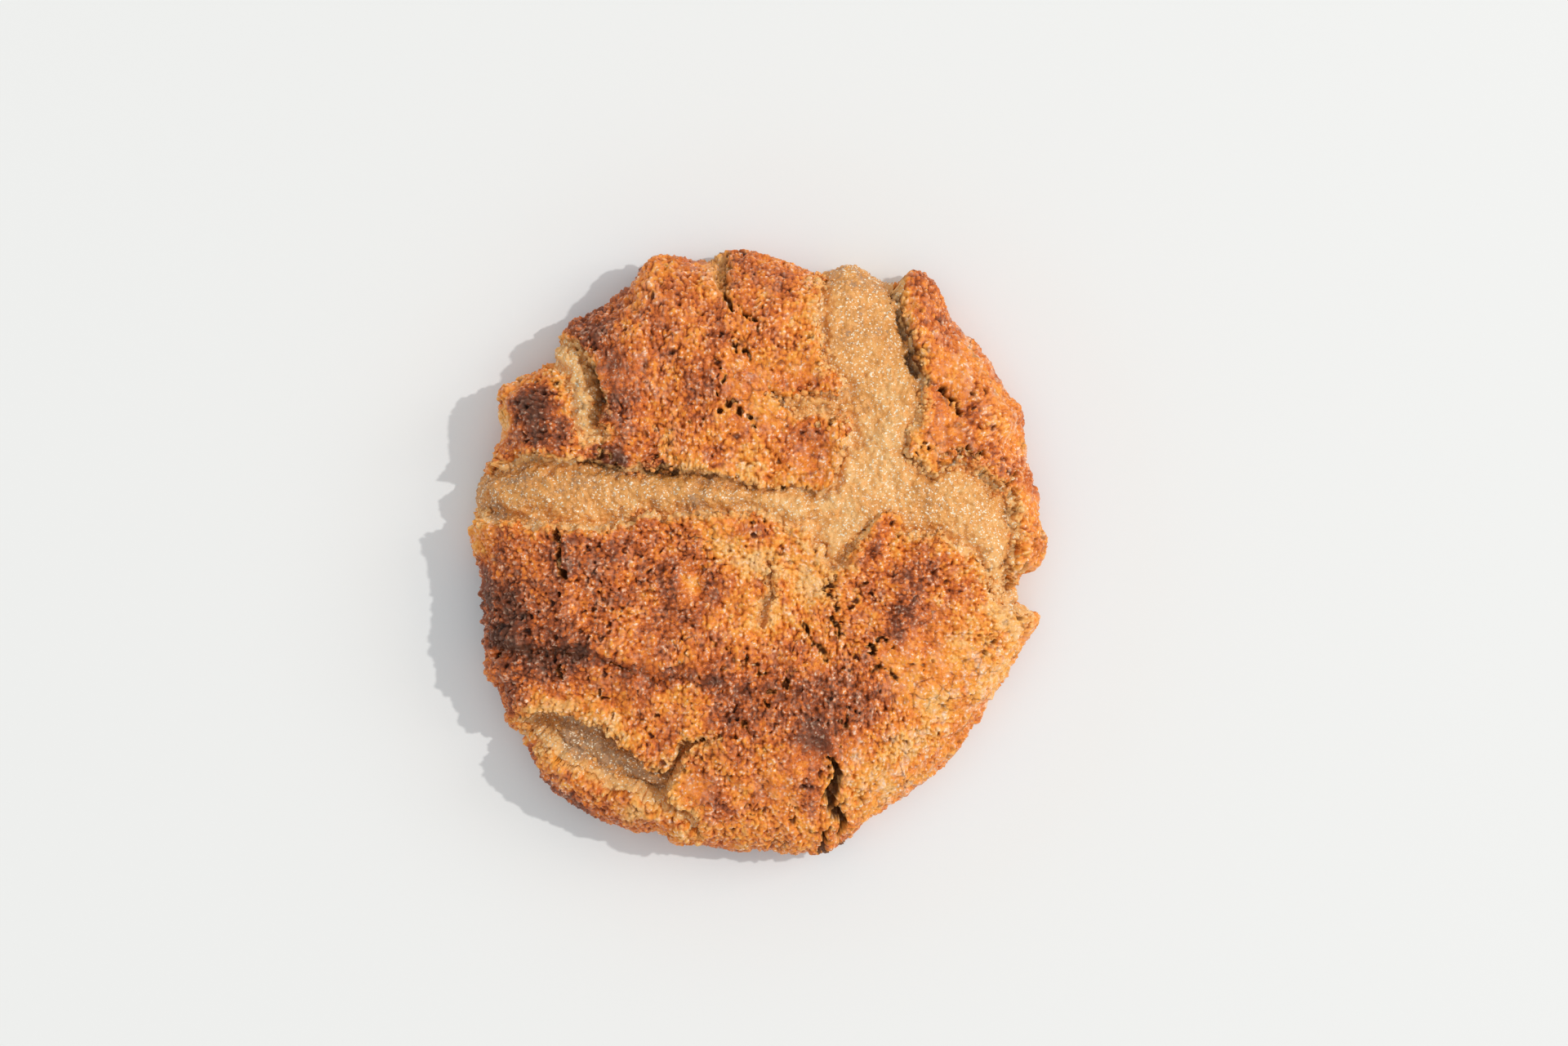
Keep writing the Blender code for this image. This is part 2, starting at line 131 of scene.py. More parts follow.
# Narrow dark cracks and pits, each a depth and a chain of x, y, half width
CRACKS = [
    (1.7, [(-7.0, 50.0, 1.2), (-6.4, 46.4, 1.2), (-6.1, 43.0, 0.9), (-5.0, 40.4, 0.6)]),
    (2.4, [(-4.4, 39.6, 0.4), (-2.4, 38.6, 0.5), (-0.9, 37.4, 0.3), (-0.8, 34.6, 0.2)]),
    (2.0, [(-5.1, 33.6, 0.3), (-2.4, 32.3, 0.5), (-1.9, 30.9, 0.2)]),
    (2.2, [(-5.6, 29.7, 0.2), (-6.4, 26.2, 0.6), (-5.7, 23.8, 0.7), (-2.8, 22.6, 0.5), (-0.5, 21.0, 0.2)]),
    (1.2, [(-12.5, 20.3, 0.2), (-7.5, 22.3, 0.2)]),
    (1.6, [(1.6, 25.6, 0.4), (3.7, 24.8, 0.4)]),
    (1.8, [(29.4, 15.6, 0.3), (32.6, 16.6, 0.5), (36.2, 15.0, 0.4)]),
    (1.8, [(-26.2, 16.8, 0.5), (-22.6, 14.9, 0.5)]),
    (1.6, [(-17.6, 13.9, 0.5), (-15.2, 13.0, 0.4)]),
    (3.0, [(-32.3, 3.8, 0.4), (-32.4, -0.5, 0.3), (-31.7, -3.6, 0.4)]),
    (3.2, [(11.4, -33.1, 0.2), (12.2, -36.7, 0.6), (11.5, -39.8, 0.7), (11.6, -42.0, 0.5)]),
    (3.2, [(12.4, -43.2, 0.7), (12.8, -46.4, 0.7)]),
    (3.4, [(9.9, -45.6, 0.3), (10.3, -50.5, 0.9)]),
    (1.8, [(5.4, -18.1, 0.3), (5.1, -21.1, 0.6), (3.1, -22.9, 0.3), (0.9, -23.9, 0.2)]),
    (1.5, [(6.9, -11.4, 0.2), (8.1, -15.1, 0.4), (9.8, -15.8, 0.3), (11.1, -18.1, 0.3)]),
    (1.5, [(12.9, -3.1, 0.4), (11.5, -6.1, 0.4), (12.2, -12.7, 0.2)]),
    (2.4, [(17.5, -15.5, 0.6), (19.0, -14.7, 0.8), (21.5, -14.9, 0.6)]),
    (1.4, [(18.9, -16.5, 0.2), (19.1, -18.6, 0.3), (17.9, -19.5, 0.2)]),
    (1.4, [(20.5, -19.1, 0.3), (22.2, -21.5, 0.2)]),
    (1.6, [(25.1, -17.9, 0.4), (26.6, -19.5, 0.2)]),
    (1.4, [(13.1, -27.1, 0.2), (13.5, -29.8, 0.3), (12.9, -31.7, 0.2)]),
    (1.3, [(-10.9, -10.6, 0.2), (-10.5, -14.1, 0.3)]),
    (1.3, [(-7.5, -14.1, 0.3), (-4.9, -15.1, 0.4), (-1.5, -17.5, 0.4), (0.5, -19.5, 0.2)]),
    (2.0, [(-32.8, -19.5, 0.6), (-32.2, -19.6, 0.6)]),
    (1.6, [(-23.5, -18.7, 0.3), (-20.2, -19.4, 0.4)]),
    (2.8, [(30.2, 26.5, 0.6), (31.5, 23.0, 0.7)]),
    (1.8, [(26.6, 17.6, 0.5), (27.4, 17.4, 0.5)]),
    (2.0, [(40.8, 12.4, 0.7), (39.4, 11.0, 0.7)]),
    (1.3, [(-1.6, -27.5, 0.3), (-1.9, -29.8, 0.4)]),
    (1.2, [(6.5, -41.0, 0.2), (5.8, -45.5, 0.2)]),
]

# Folds, mounds and dents of the crust, each a height, a reach and a chain of x, y
SWELLS = [
    (1.1, 9.0, [(-12.0, 36.0), (-9.0, 27.0)]),
    (0.9, 3.0, [(-19.5, 42.0), (-20.5, 30.0), (-21.0, 20.0)]),
    (0.8, 1.8, [(-23.8, 31.0), (-23.4, 21.0)]),
    (0.9, 3.2, [(-40.0, -11.5), (-31.0, -13.0), (-22.0, -16.0), (-10.0, -18.6)]),
    (-1.0, 1.1, [(-42.0, -16.6), (-30.0, -16.4), (-22.0, -19.0), (-12.0, -21.2)]),
    (-1.5, 4.6, [(-37.0, -21.5), (-24.0, -25.5)]),
    (1.0, 5.0, [(-20.0, -2.0), (-32.0, -4.0)]),
    (-1.3, 1.7, [(-9.9, -3.8), (-10.4, -4.4)]),
    (0.9, 4.2, [(25.0, -5.0), (22.5, -10.5)]),
    (1.3, 2.8, [(18.4, 4.6), (17.4, 0.6)]),
    (0.9, 4.0, [(34.0, 30.0), (38.0, 20.0)]),
    (0.8, 2.4, [(27.6, 40.0), (26.8, 31.0), (26.0, 23.0)]),
    (-0.9, 2.6, [(30.0, 36.0), (26.0, 40.0)]),
    (0.8, 5.0, [(10.0, -22.0), (4.0, -33.0)]),
    (-0.8, 3.4, [(-4.0, -24.0), (2.0, -14.0)]),
    (1.0, 3.0, [(-37.5, 23.0), (-38.5, 21.0)]),
    (0.7, 3.5, [(4.0, 40.0), (2.0, 34.0)]),
]

# Lumps of the surface, each layer an amplitude and a size
CRUST_LUMPS = [(0.75, 13.0), (0.5, 5.5), (0.28, 2.6)]
DOUGH_LUMPS = [(0.5, 9.0), (0.4, 4.0)]
SIDE_LUMPS = [(0.7, 9.0), (0.35, 3.6)]
EDGE_WANDER = [(0.75, 4.5), (0.5, 1.9)]
RAGGED_EDGE = [(0.5, 1.7), (0.34, 0.8), (0.16, 0.4)]

# Noise over the unrolled skin, each layer an amplitude, a size and a seed
CRACK_WANDER = [(0.3, 0.9, 115), (0.28, 0.5, 116)]
FINE_RELIEF = [(0.45, 0.4, 201), (0.6, 0.95, 203), (0.9, 2.0, 209)]
BROKEN_EDGE = [(0.4, 1.5, 205), (0.3, 0.7, 207)]
WALL_WANDER = [(0.7, 3.3, 211), (0.4, 1.3, 212)]
DOUGH_PASTE = [(0.26, 1.8, 221), (0.24, 0.8, 231), (0.16, 0.42, 233)]
BAKED_PATCHES = [(0.09, 9.0, 241), (0.13, 3.6, 251), (0.09, 1.4, 261)]
CRUMB_EDGE = [(0.8, 2.4, 271), (0.5, 1.1, 273)]
PALE_PATCHES = [(0.28, 6.0, 291), (0.22, 2.0, 295), (0.18, 0.9, 297)]

# Width of the crust's grains, the clusters and clumps that they form, and the spacing of its pits
GRAIN_WIDTH = 0.6
CLUSTER_WIDTH = 1.35
CLUMP_WIDTH = 2.7
PIT_SPACING = 1.5

# How the crust breaks at a gap
WALL_WIDTH = 0.9
FOOT_GROOVE = 0.7
DOUGH_BULGE = 1.5
DOUGH_BULGE_REACH = 2.6
LIP_HEIGHT = 0.4
LIP_REACH = 1.5
CRACK_SLOPE = 0.55
GAP_JOIN = 0.7
GAP_BLEND = 1.6
LEAST_DROP = 0.3
SIDE_CLOSING = 0.3
SIDE_TOP = 9.0
# Crumb bridges this share of a crack deeper than this, and all of a shallower one.
DEEP_CRACK = 2.9
DEEP_CRACK_BRIDGED = 0.3
# How far the dough lies below the crust's skin, and the crust's lining below it at a gap
CRUST_COVER = 0.9
LINING_DEPTH = 1.1
# The crust ends this far inside a gap's edge, and nothing of the dough shows further out than this.
CRUST_END = -0.25
DOUGH_HIDDEN = 2.6

# The base and the loose crumb
BASE_STEPS = 170
BASE_INSET = 0.2
BASE_TRIANGLES = 60000
DOUGH_TRIANGLES = 192000
LEAST_CRUMB = 0.12
CRUMB_GROWTH = 0.42

# Room left inside the solid's box, and under the skin's lowest edge
BOX_MARGIN = 0.03
LOWEST_SKIN = 0.12

# Colour that hollows are multiplied by as painted shade, and the colour of the specks in the dough
HOLLOW_SHADE_TINT = (0.13, 0.08, 0.055)
SPECK_COLOUR = (0.05, 0.025, 0.012)

# The stage, in metres and degrees: the lamps, the view, and how far out the floor is painted a cooler tint
# against the warm light it takes up from the cookie
KEY_DIRECTION = (-8.7, -2.3, -10.4)
KEY_ANGLE = 1.6
KEY_COLOUR = (1.0, 0.97, 0.92)
SOFT_BOX_PLACE = (1.1, 0.3, 0.75)
SOFT_BOX_SIZE = 0.6
FILL_COLOUR = (0.975, 0.998, 1.0)
VIEW_CENTRE = (0.0038, 0.0048)
VIEW_LEVEL = 0.010
FLOOR_REACH = 2.0
BOUNCE_TINT_REACH = (0.042, 0.066)

# How browned the crust is: a change of browning, a reach and a chain of x, y
BROWNING = [
    (0.26, 5.0, [(-43.5, -9.5), (-42.0, -14.0), (-39.5, -22.0)]),
    (0.10, 4.0, [(-45.0, -2.0), (-44.0, -7.0)]),
    (0.14, 8.0, [(-37.0, -9.0), (-34.0, -14.0)]),
    (0.30, 2.2, [(-43.0, -13.5), (-36.0, -16.8), (-30.0, -16.6)]),
    (0.26, 1.5, [(-30.0, -16.2), (-23.0, -18.9), (-13.0, -20.7), (-7.0, -21.6)]),
    (0.22, 3.2, [(-29.0, 35.5), (-24.0, 31.5), (-22.5, 22.0)]),
    (0.18, 1.8, [(-19.5, 45.5), (-22.0, 42.0)]),
    (0.50, 1.9, [(-26.0, 16.8), (-22.4, 15.2)]),
    (0.34, 1.3, [(-17.8, 14.2), (-15.2, 13.4)]),
    (0.50, 4.7, [(-37.0, 24.4), (-35.2, 20.2)]),
    (-0.34, 1.4, [(-41.5, 19.0), (-41.8, 24.5), (-38.0, 28.0), (-33.5, 27.5), (-31.6, 23.0)]),
    (0.27, 2.8, [(25.5, -3.5), (24.5, -7.0)]),
    (0.18, 2.6, [(22.5, -11.5), (22.0, -13.0)]),
    (0.12, 2.0, [(32.5, -5.0), (33.5, -6.0)]),
    (0.24, 2.6, [(9.0, -27.0), (9.5, -31.0)]),
    (0.20, 2.0, [(-1.0, -28.0), (-3.0, -27.0)]),
    (0.16, 5.0, [(-4.0, -22.0), (6.0, -21.0), (14.0, -24.0)]),
    (0.10, 3.0, [(13.0, -19.0), (12.0, -23.0)]),
    (0.24, 1.4, [(7.8, -38.0), (8.3, -41.5)]),
    (0.20, 1.8, [(-6.0, -41.5), (-7.0, -40.5)]),
    (0.10, 8.0, [(-28.0, -3.0), (-20.0, -8.0)]),
    (0.06, 4.0, [(34.5, 18.0), (33.0, 22.0)]),
    (0.18, 2.2, [(17.8, 3.0), (17.4, 1.4)]),
    (-0.30, 3.0, [(-8.0, 2.0), (-2.0, -1.0)]),
    (-0.27, 3.0, [(-2.0, -1.0), (6.0, -2.0), (10.0, -6.0)]),
    (-0.30, 2.4, [(-36.0, -24.5), (-27.0, -25.5), (-21.0, -30.0)]),
    (-0.27, 8.0, [(35.0, -18.0), (27.0, -29.0), (20.0, -36.0)]),
    (-0.25, 1.8, [(38.0, -9.5), (41.0, -12.5)]),
    (-0.18, 2.4, [(42.5, 8.0), (44.0, 3.0), (43.5, -1.0)]),
    (-0.15, 1.1, [(-36.8, -33.8), (-30.0, -37.8), (-24.4, -41.2), (-18.0, -42.6)]),
    (0.26, 1.4, [(-38.2, -32.0), (-33.8, -38.6), (-27.0, -43.4)]),
    (-0.35, 1.0, [(-11.8, -5.2), (-10.6, -4.6)]),
    (-0.15, 2.2, [(-8.5, 42.0), (-8.0, 46.0)]),
    (-0.30, 2.4, [(-46.6, 5.0), (-45.8, 0.5)]),
    (-0.10, 5.0, [(-2.0, 18.0), (6.0, 14.0)]),
    (-0.10, 4.0, [(4.0, 32.0), (8.0, 28.0)]),
    (-0.10, 6.0, [(34.0, 30.0), (40.0, 18.0)]),
]

# Where the dough has broken into crumb: a weight, a reach and a chain of x, y
CRUMBLED = [
    (1.0, 4.2, [(-37.0, 34.0), (-31.5, 30.5), (-28.4, 21.0)]),
    (0.9, 2.6, [(37.0, -1.0), (39.5, -7.0), (43.0, -9.0)]),
    (0.7, 1.0, [(-35.8, -33.0), (-29.4, -36.4), (-24.2, -39.6), (-17.0, -43.0)]),
    (0.9, 1.2, [(-34.0, -25.9), (-27.0, -27.9)]),
]

# Where the crust is eaten back from a gap, or reaches into it where negative, and where the dough is
# banked up in it: an amount, a reach and a chain of x, y
OPENED = [
    (1.6, 6.5, [(-44.0, 10.2), (-28.0, 9.7)]),
    (1.3, 3.4, [(-36.5, -27.6), (-31.0, -27.4), (-25.4, -30.0)]),
    (-0.5, 2.4, [(-36.9, -33.9), (-30.0, -37.6), (-24.2, -41.0)]),
    (0.8, 1.6, [(-25.6, 26.5), (-25.2, 19.0)]),
    (-4.2, 1.5, [(20.7, 6.2), (19.8, 2.5)]),
]
DOUGH_SWELLS = [
    (0.8, 1.6, [(-35.6, -32.6), (-29.0, -36.0), (-24.0, -39.2)]),
    (1.2, 2.4, [(-36.0, 34.4), (-31.8, 29.0), (-30.0, 21.5)]),
    (-2.2, 1.2, [(-29.4, 31.0), (-26.2, 27.0), (-25.7, 21.6)]),
    (0.5, 1.8, [(23.6, 46.0), (24.0, 36.0), (25.6, 28.0), (25.4, 21.0)]),
    (0.6, 1.5, [(9.6, 44.0), (9.8, 34.0), (12.0, 29.5)]),
    (0.8, 4.0, [(-14.0, 9.6), (6.0, 7.8)]),
]

# How much paler the dough is: a change, a reach and a chain of x, y
DOUGH_TONE = [
    (-0.16, 7.0, [(-42.0, 10.0), (-28.0, 9.8)]),
    (-0.04, 5.0, [(-18.0, 9.8), (-8.0, 9.4)]),
    # Darker along the shadowed right wall of the north-west gap: painted shade
    (-0.80, 1.5, [(-29.2, 31.0), (-26.0, 27.0), (-25.5, 21.6)]),
    (0.20, 8.0, [(18.0, 18.0), (14.0, 8.0)]),
    (-0.80, 4.4, [(-33.0, -29.6), (-27.2, -32.4), (-20.0, -36.6)]),
    # Darker along the shadowed east wall of the north valley: painted shade
    (-0.40, 1.3, [(23.6, 42.0), (24.4, 34.0), (26.0, 27.0), (25.8, 19.0)]),
    (0.60, 1.1, [(-35.8, -32.8), (-29.4, -36.2), (-24.2, -39.4)]),
    (-0.30, 3.0, [(-28.0, 28.0), (-27.4, 21.0)]),
]

# Where pale crumb covers the crust, and where a broken edge is golden: a weight, a reach and a chain
PALE_CRUMB = [
    (1.0, 1.3, [(-7.2, 49.0), (-6.2, 43.0)]),
    (0.8, 0.8, [(1.3, -2.0), (1.0, -9.0)]),
    (1.0, 1.2, [(-20.8, -42.4), (-19.8, -41.8)]),
    (0.8, 1.4, [(-38.0, 35.2), (-34.6, 36.2)]),
    (0.9, 1.1, [(-37.6, -26.0), (-33.8, -25.6), (-31.0, -25.6)]),
    (0.7, 1.2, [(39.4, -9.4), (42.4, -11.8)]),
]
GOLDEN_EDGES = [
    (0.4, 2.0, [(1.2, -1.6), (1.0, -12.0)]),
    (0.5, 2.5, [(-46.0, 4.0), (-30.0, 4.6), (-20.0, 5.4)]),
]

# Where the foot of an overhanging wall is deepest and has the darkest painted shadow: a weight, a reach and a
# chain of x, y
DEEP_FEET = [
    (1.0, 1.6, [(-27.2, 28.4), (-25.9, 24.0), (-25.9, 18.4)]),
    (0.8, 2.0, [(-27.5, 15.4), (-21.0, 14.6), (-15.0, 13.4)]),
    (0.7, 2.0, [(25.0, 40.0), (25.2, 30.0)]),
]

# Where the broken wall of a gap slopes gently: a weight, a reach and a chain of x, y
SOFT_WALLS = [
    (1.0, 2.4, [(-36.2, -32.8), (-29.2, -36.2), (-24.0, -39.6)]),
    (1.0, 2.4, [(-37.0, 33.0), (-32.4, 28.6), (-30.6, 21.0)]),
    (0.7, 3.0, [(-44.0, 5.0), (-28.0, 4.6)]),
]

# Where the crust is smooth, where a painted sheen highlight lies on it and where it wrinkles: a weight, a
# reach and a chain of x, y
SMOOTH_SKIN = [
    (0.5, 5.0, [(33.0, 36.0), (40.0, 26.0), (44.0, 14.0)]),
    (0.7, 7.0, [(40.0, -17.0), (32.0, -28.0), (22.0, -38.0)]),
    (0.5, 3.0, [(15.0, -22.0), (17.0, -36.0)]),
    (-0.5, 8.0, [(-16.0, 36.0), (-14.0, 22.0)]),
    (-0.5, 8.0, [(-30.0, -4.0), (-20.0, -8.0)]),
]
PAINTED_SHEEN = [
    (0.9, 5.0, [(38.0, -18.0), (31.0, -27.0), (22.0, -36.0)]),
    (0.8, 2.6, [(15.0, -20.0), (17.0, -37.0)]),
    (0.6, 4.0, [(33.0, 36.0), (40.0, 26.0), (43.0, 14.0)]),
    (0.5, 3.0, [(-30.0, -2.0), (-24.0, -10.0)]),
    (0.5, 3.5, [(-20.0, 34.0), (-19.0, 22.0)]),
]
WRINKLES = [
    (1.0, 4.0, [(-45.0, -4.0), (-43.0, -20.0)]),
    (0.8, 4.0, [(-32.0, -23.0), (-16.0, -27.0)]),
    (0.7, 4.0, [(15.0, -22.0), (17.0, -36.0)]),
]

# The lines that part the plates of crust: y, x in the south, and x, y between north and south
SEAM_SOUTH_WEST = [
    (-52.0, -12.0), (-45.0, -10.8), (-42.6, -12.2), (-40.2, -15.5), (-36.6, -15.4), (-32.4, -12.4),
    (-29.9, -8.5), (-24.0, -9.5), (-14.1, -10.5), (-10.6, -10.9), (-4.4, -10.2), (8.0, -8.0),
]
SEAM_SOUTH_EAST = [
    (-52.0, 10.3), (-45.6, 9.9), (-42.0, 11.6), (-39.8, 11.5), (-36.7, 12.2), (-33.1, 11.4),
    (-29.8, 13.5), (-27.1, 13.1), (-21.1, 5.1), (-18.1, 5.4), (-12.0, 0.9), (-1.6, 1.2), (8.0, 1.2),
]
SEAM_NORTH = [
    (-60.0, 10.3), (-20.0, 9.9), (-4.0, 9.0), (10.0, 7.4), (16.0, 9.0), (30.0, 8.2), (38.0, 2.0),
    (40.0, -7.0), (60.0, -9.0),
]


# Fields over the cookie


def smooth_step(low, high, value):
    """0 below low, 1 above high, and a smooth rise between them."""
    share = np.clip((value - low) / (high - low), 0.0, 1.0)
    return share * share * (3.0 - 2.0 * share)


def lattice_noise(points, size, seed):
    """Smooth random values from -1 to 1 whose lumps are about this size, on points of 2 or 3 numbers."""
    depth = points.shape[1]
    cells = 24 if depth == 3 else 97
    table = np.random.default_rng(seed).uniform(-1.0, 1.0, (cells,) * depth)
    spot = points / size + seed * 0.37
    cell = np.floor(spot).astype(int)
    share = spot - cell
    share = share * share * (3.0 - 2.0 * share)
    total = np.zeros(len(points))
    for corner in np.ndindex(*(2,) * depth):
        weight = np.prod(np.where(corner, share, 1.0 - share), axis=1)
        total += weight * table[tuple(((cell + corner) % cells).T)]
    return total


def lumps(points, layers, seed):
    """The sum of several layers of lumps, each an amplitude and a size."""
    return sum(
        amplitude * lattice_noise(points, size, seed + n) for n, (amplitude, size) in enumerate(layers)
    )


def layered(flat, layers):
    """The sum of several layers of noise, each an amplitude, a size and a seed."""
    return sum(amplitude * lattice_noise(flat, size, seed) for amplitude, size, seed in layers)


def sideways_push(flat, amplitude, size, seed):
    """A sideways push of each point of the unrolled skin."""
    return amplitude * np.stack(
        [lattice_noise(flat, size, seed), lattice_noise(flat, size, seed + 1)], axis=1
    )


def grains(flat, size, seed):
    """Scattered cells on the unrolled skin: distances to the two nearest middles, and the nearest's value."""
    cells = 211
    random = np.random.default_rng(seed)
    offset = random.uniform(0.08, 0.92, (cells, cells, 2))
    value = random.uniform(0.0, 1.0, (cells, cells))
    spot = flat / size + 0.5 * seed
    cell = np.floor(spot).astype(int)
    first = np.full(len(flat), 9.0)
    second = np.full(len(flat), 9.0)
    chosen = np.zeros(len(flat))
    for corner in np.ndindex(3, 3):
        at = cell + corner - 1
        i, j = (at % cells).T
        away = np.hypot(*(at + offset[i, j] - spot).T)
        nearer = away < first
        second = np.where(nearer, first, np.minimum(second, away))
        chosen = np.where(nearer, value[i, j], chosen)
        first = np.where(nearer, away, first)
    return first, second, chosen


def unit(values):
    """The values kept between 0 and 1."""
    return np.clip(values, 0.0, 1.0)


def chain_distance(x, y, chain):
    """Distance to the edge of a chain of x, y, half width: negative inside it."""
    nearest = np.full(len(x), np.inf)
    for (ax, ay, *a_width), (bx, by, *b_width) in zip(chain, chain[1:]):
        along_x, along_y = bx - ax, by - ay
        share = ((x - ax) * along_x + (y - ay) * along_y) / (along_x**2 + along_y**2)
        share = np.clip(share, 0.0, 1.0)
        away = np.hypot(x - ax - share * along_x, y - ay - share * along_y)
        if a_width:
            away = away - a_width[0] - share * (b_width[0] - a_width[0])
        nearest = np.minimum(nearest, away)
    return nearest


def chain_swells(x, y, table):
    """The sum of soft ridges, each a height, a reach and a chain of x, y."""
    total = np.zeros(len(x))
    for height, reach, chain in table:
        total += height * np.exp(-((chain_distance(x, y, chain) / reach) ** 2))
    return total


def smooth_loop(points, per_span=8):
    """A closed Catmull-Rom curve through the points."""
    knots = np.array(points)
    before, after, beyond = np.roll(knots, 1, 0), np.roll(knots, -1, 0), np.roll(knots, -2, 0)
    spans = []
    for t in np.arange(per_span) / per_span:
        spans.append(0.5 * (
            2.0 * knots + t * (after - before)
            + t**2 * (2.0 * before - 5.0 * knots + 4.0 * after - beyond)
            + t**3 * (3.0 * knots - before - 3.0 * after + beyond)
        ))
    return np.stack(spans, axis=1).reshape(-1, 2)


def edge_radius(bearing):
    """Radius of the edge seen from above at each bearing, in radians."""
    loop = smooth_loop(EDGE)
    angles = np.arctan2(loop[:, 1], loop[:, 0])
    order = np.argsort(angles)
    return np.interp(bearing, angles[order], np.hypot(*loop[order].T), period=2.0 * math.pi)


def edge_scale(bearing, radius):
    """How far the round section is stretched: smoothly near the middle, and with every notch at the edge."""
    steps = 720
    softening = 40.0
    every = np.linspace(-math.pi, math.pi, steps, endpoint=False)
    exact = edge_radius(every)
    window = np.exp(-((np.arange(steps) - steps // 2) / softening) ** 2)
    spread = np.fft.fft(np.fft.ifftshift(window / window.sum()))
    smooth = np.real(np.fft.ifft(np.fft.fft(exact) * spread))
    soft = np.interp(bearing, every, smooth, period=2.0 * math.pi)
    share = smooth_step(0.8, 1.0, radius / MEAN_RADIUS)
    return (soft + (edge_radius(bearing) - soft) * share) / MEAN_RADIUS


def section():
    """Half the section of the plain round cookie, closely spaced, from its top to just inside its foot."""
    share = np.sin(np.linspace(0.0, 0.5 * math.pi, 900)) ** 0.9
    top = np.stack([
        MEAN_RADIUS * share,
        WAIST_HEIGHT + (CROWN_HEIGHT - WAIST_HEIGHT) * (1.0 - share**CROWN_POWER) ** 0.5,
    ], axis=1)
    turn = np.linspace(0.0, 0.5 * math.pi, 200)[1:]
    side = np.stack([
        MEAN_RADIUS - FOOT_INSET * (1.0 - np.cos(turn)),
        WAIST_HEIGHT * (1.0 - np.sin(turn)),
    ], axis=1)
    shadowed_foot = np.array([[MEAN_RADIUS - FOOT_INSET - FOOT_RETURN, 0.0]])
    return np.concatenate([top, side, shadowed_foot])


def unrolled(side):
    """The skin laid flat as a disc of even cells: x, y of each point of a square grid, for a reach of 1."""
    across = np.linspace(-1.0, 1.0, side)
    a, b = (v.ravel() for v in np.meshgrid(across, across))
    wide = np.abs(a) > np.abs(b)
    reach = np.where(wide, a, b)
    over = np.where(reach == 0.0, 1.0, reach)
    turn = np.where(wide, 0.25 * math.pi * b / over, 0.5 * math.pi - 0.25 * math.pi * a / over)
    return np.stack([reach * np.cos(turn), reach * np.sin(turn)], axis=1)


def face_normals(points, side):
    """Unit normals of a square grid of points."""
    grid = points.reshape(side, side, 3)
    normal = np.cross(np.gradient(grid, axis=1), np.gradient(grid, axis=0)).reshape(-1, 3)
    return normal / np.maximum(np.linalg.norm(normal, axis=1, keepdims=True), 1e-9)


def gap_fields(x, y, height):
    """Distance out from the nearest gap's edge, and how far the dough inside lies below the crust."""
    nearness, weights, depths = (np.zeros(len(x)) for _ in range(3))
    for depth, chain in GAPS.values():
        away = chain_distance(x, y, chain)
        nearness += np.exp(-away / GAP_JOIN)
        share = np.exp(-away / GAP_BLEND)
        weights += share
        depths += share * depth
    # A split closes up as it runs down the side to the foot.
    outside = SIDE_CLOSING * np.maximum(SIDE_TOP - height, 0.0) - GAP_JOIN * np.log(nearness)
    inside = np.maximum(-outside, 0.0)
    groove = FOOT_GROOVE * np.exp(-((inside - WALL_WIDTH) / WALL_WIDTH) ** 2)
    bulge = DOUGH_BULGE * (1.0 - np.exp(-inside / DOUGH_BULGE_REACH))
    return outside, np.maximum(depths / weights + groove - bulge, LEAST_DROP)


def crack_depths(x, y, width_noise, bridges):
    """How far the cracks and pits cut into the crust. Crumb bridges all but the deepest."""
    cut = np.zeros(len(x))
    for depth, chain in CRACKS:
        away = chain_distance(x, y, chain) + width_noise
        open_share = 1.0 - bridges * (DEEP_CRACK_BRIDGED if depth > DEEP_CRACK else 1.0)
        cut = np.maximum(cut, depth * smooth_step(-CRACK_SLOPE, 0.0, -away) * open_share)
    return cut


def bare_skin(side):
    """The plain cookie's skin on a square grid: each point's place laid flat, its place and its normal."""
    curve = section()
    run = np.concatenate([[0.0], np.cumsum(np.hypot(*np.diff(curve, axis=0).T))])
    flat = unrolled(side) * run[-1]
    reach = np.hypot(*flat.T)
    bearing = np.arctan2(flat[:, 1], flat[:, 0])
    radius, height = (np.interp(reach, run, curve[:, n]) for n in (0, 1))
    slope = np.gradient(curve, run, axis=0)
    outward, up = -np.interp(reach, run, slope[:, 1]), np.interp(reach, run, slope[:, 0])
    length = np.hypot(outward, up)
    outward, up = outward / length, up / length
    scale = edge_scale(bearing, np.where(height < WAIST_HEIGHT, MEAN_RADIUS, radius))
    points = np.stack([radius * np.cos(bearing) * scale, radius * np.sin(bearing) * scale, height], axis=1)
    normals = np.stack([outward * np.cos(bearing), outward * np.sin(bearing), up], axis=1)
    return flat, points, normals


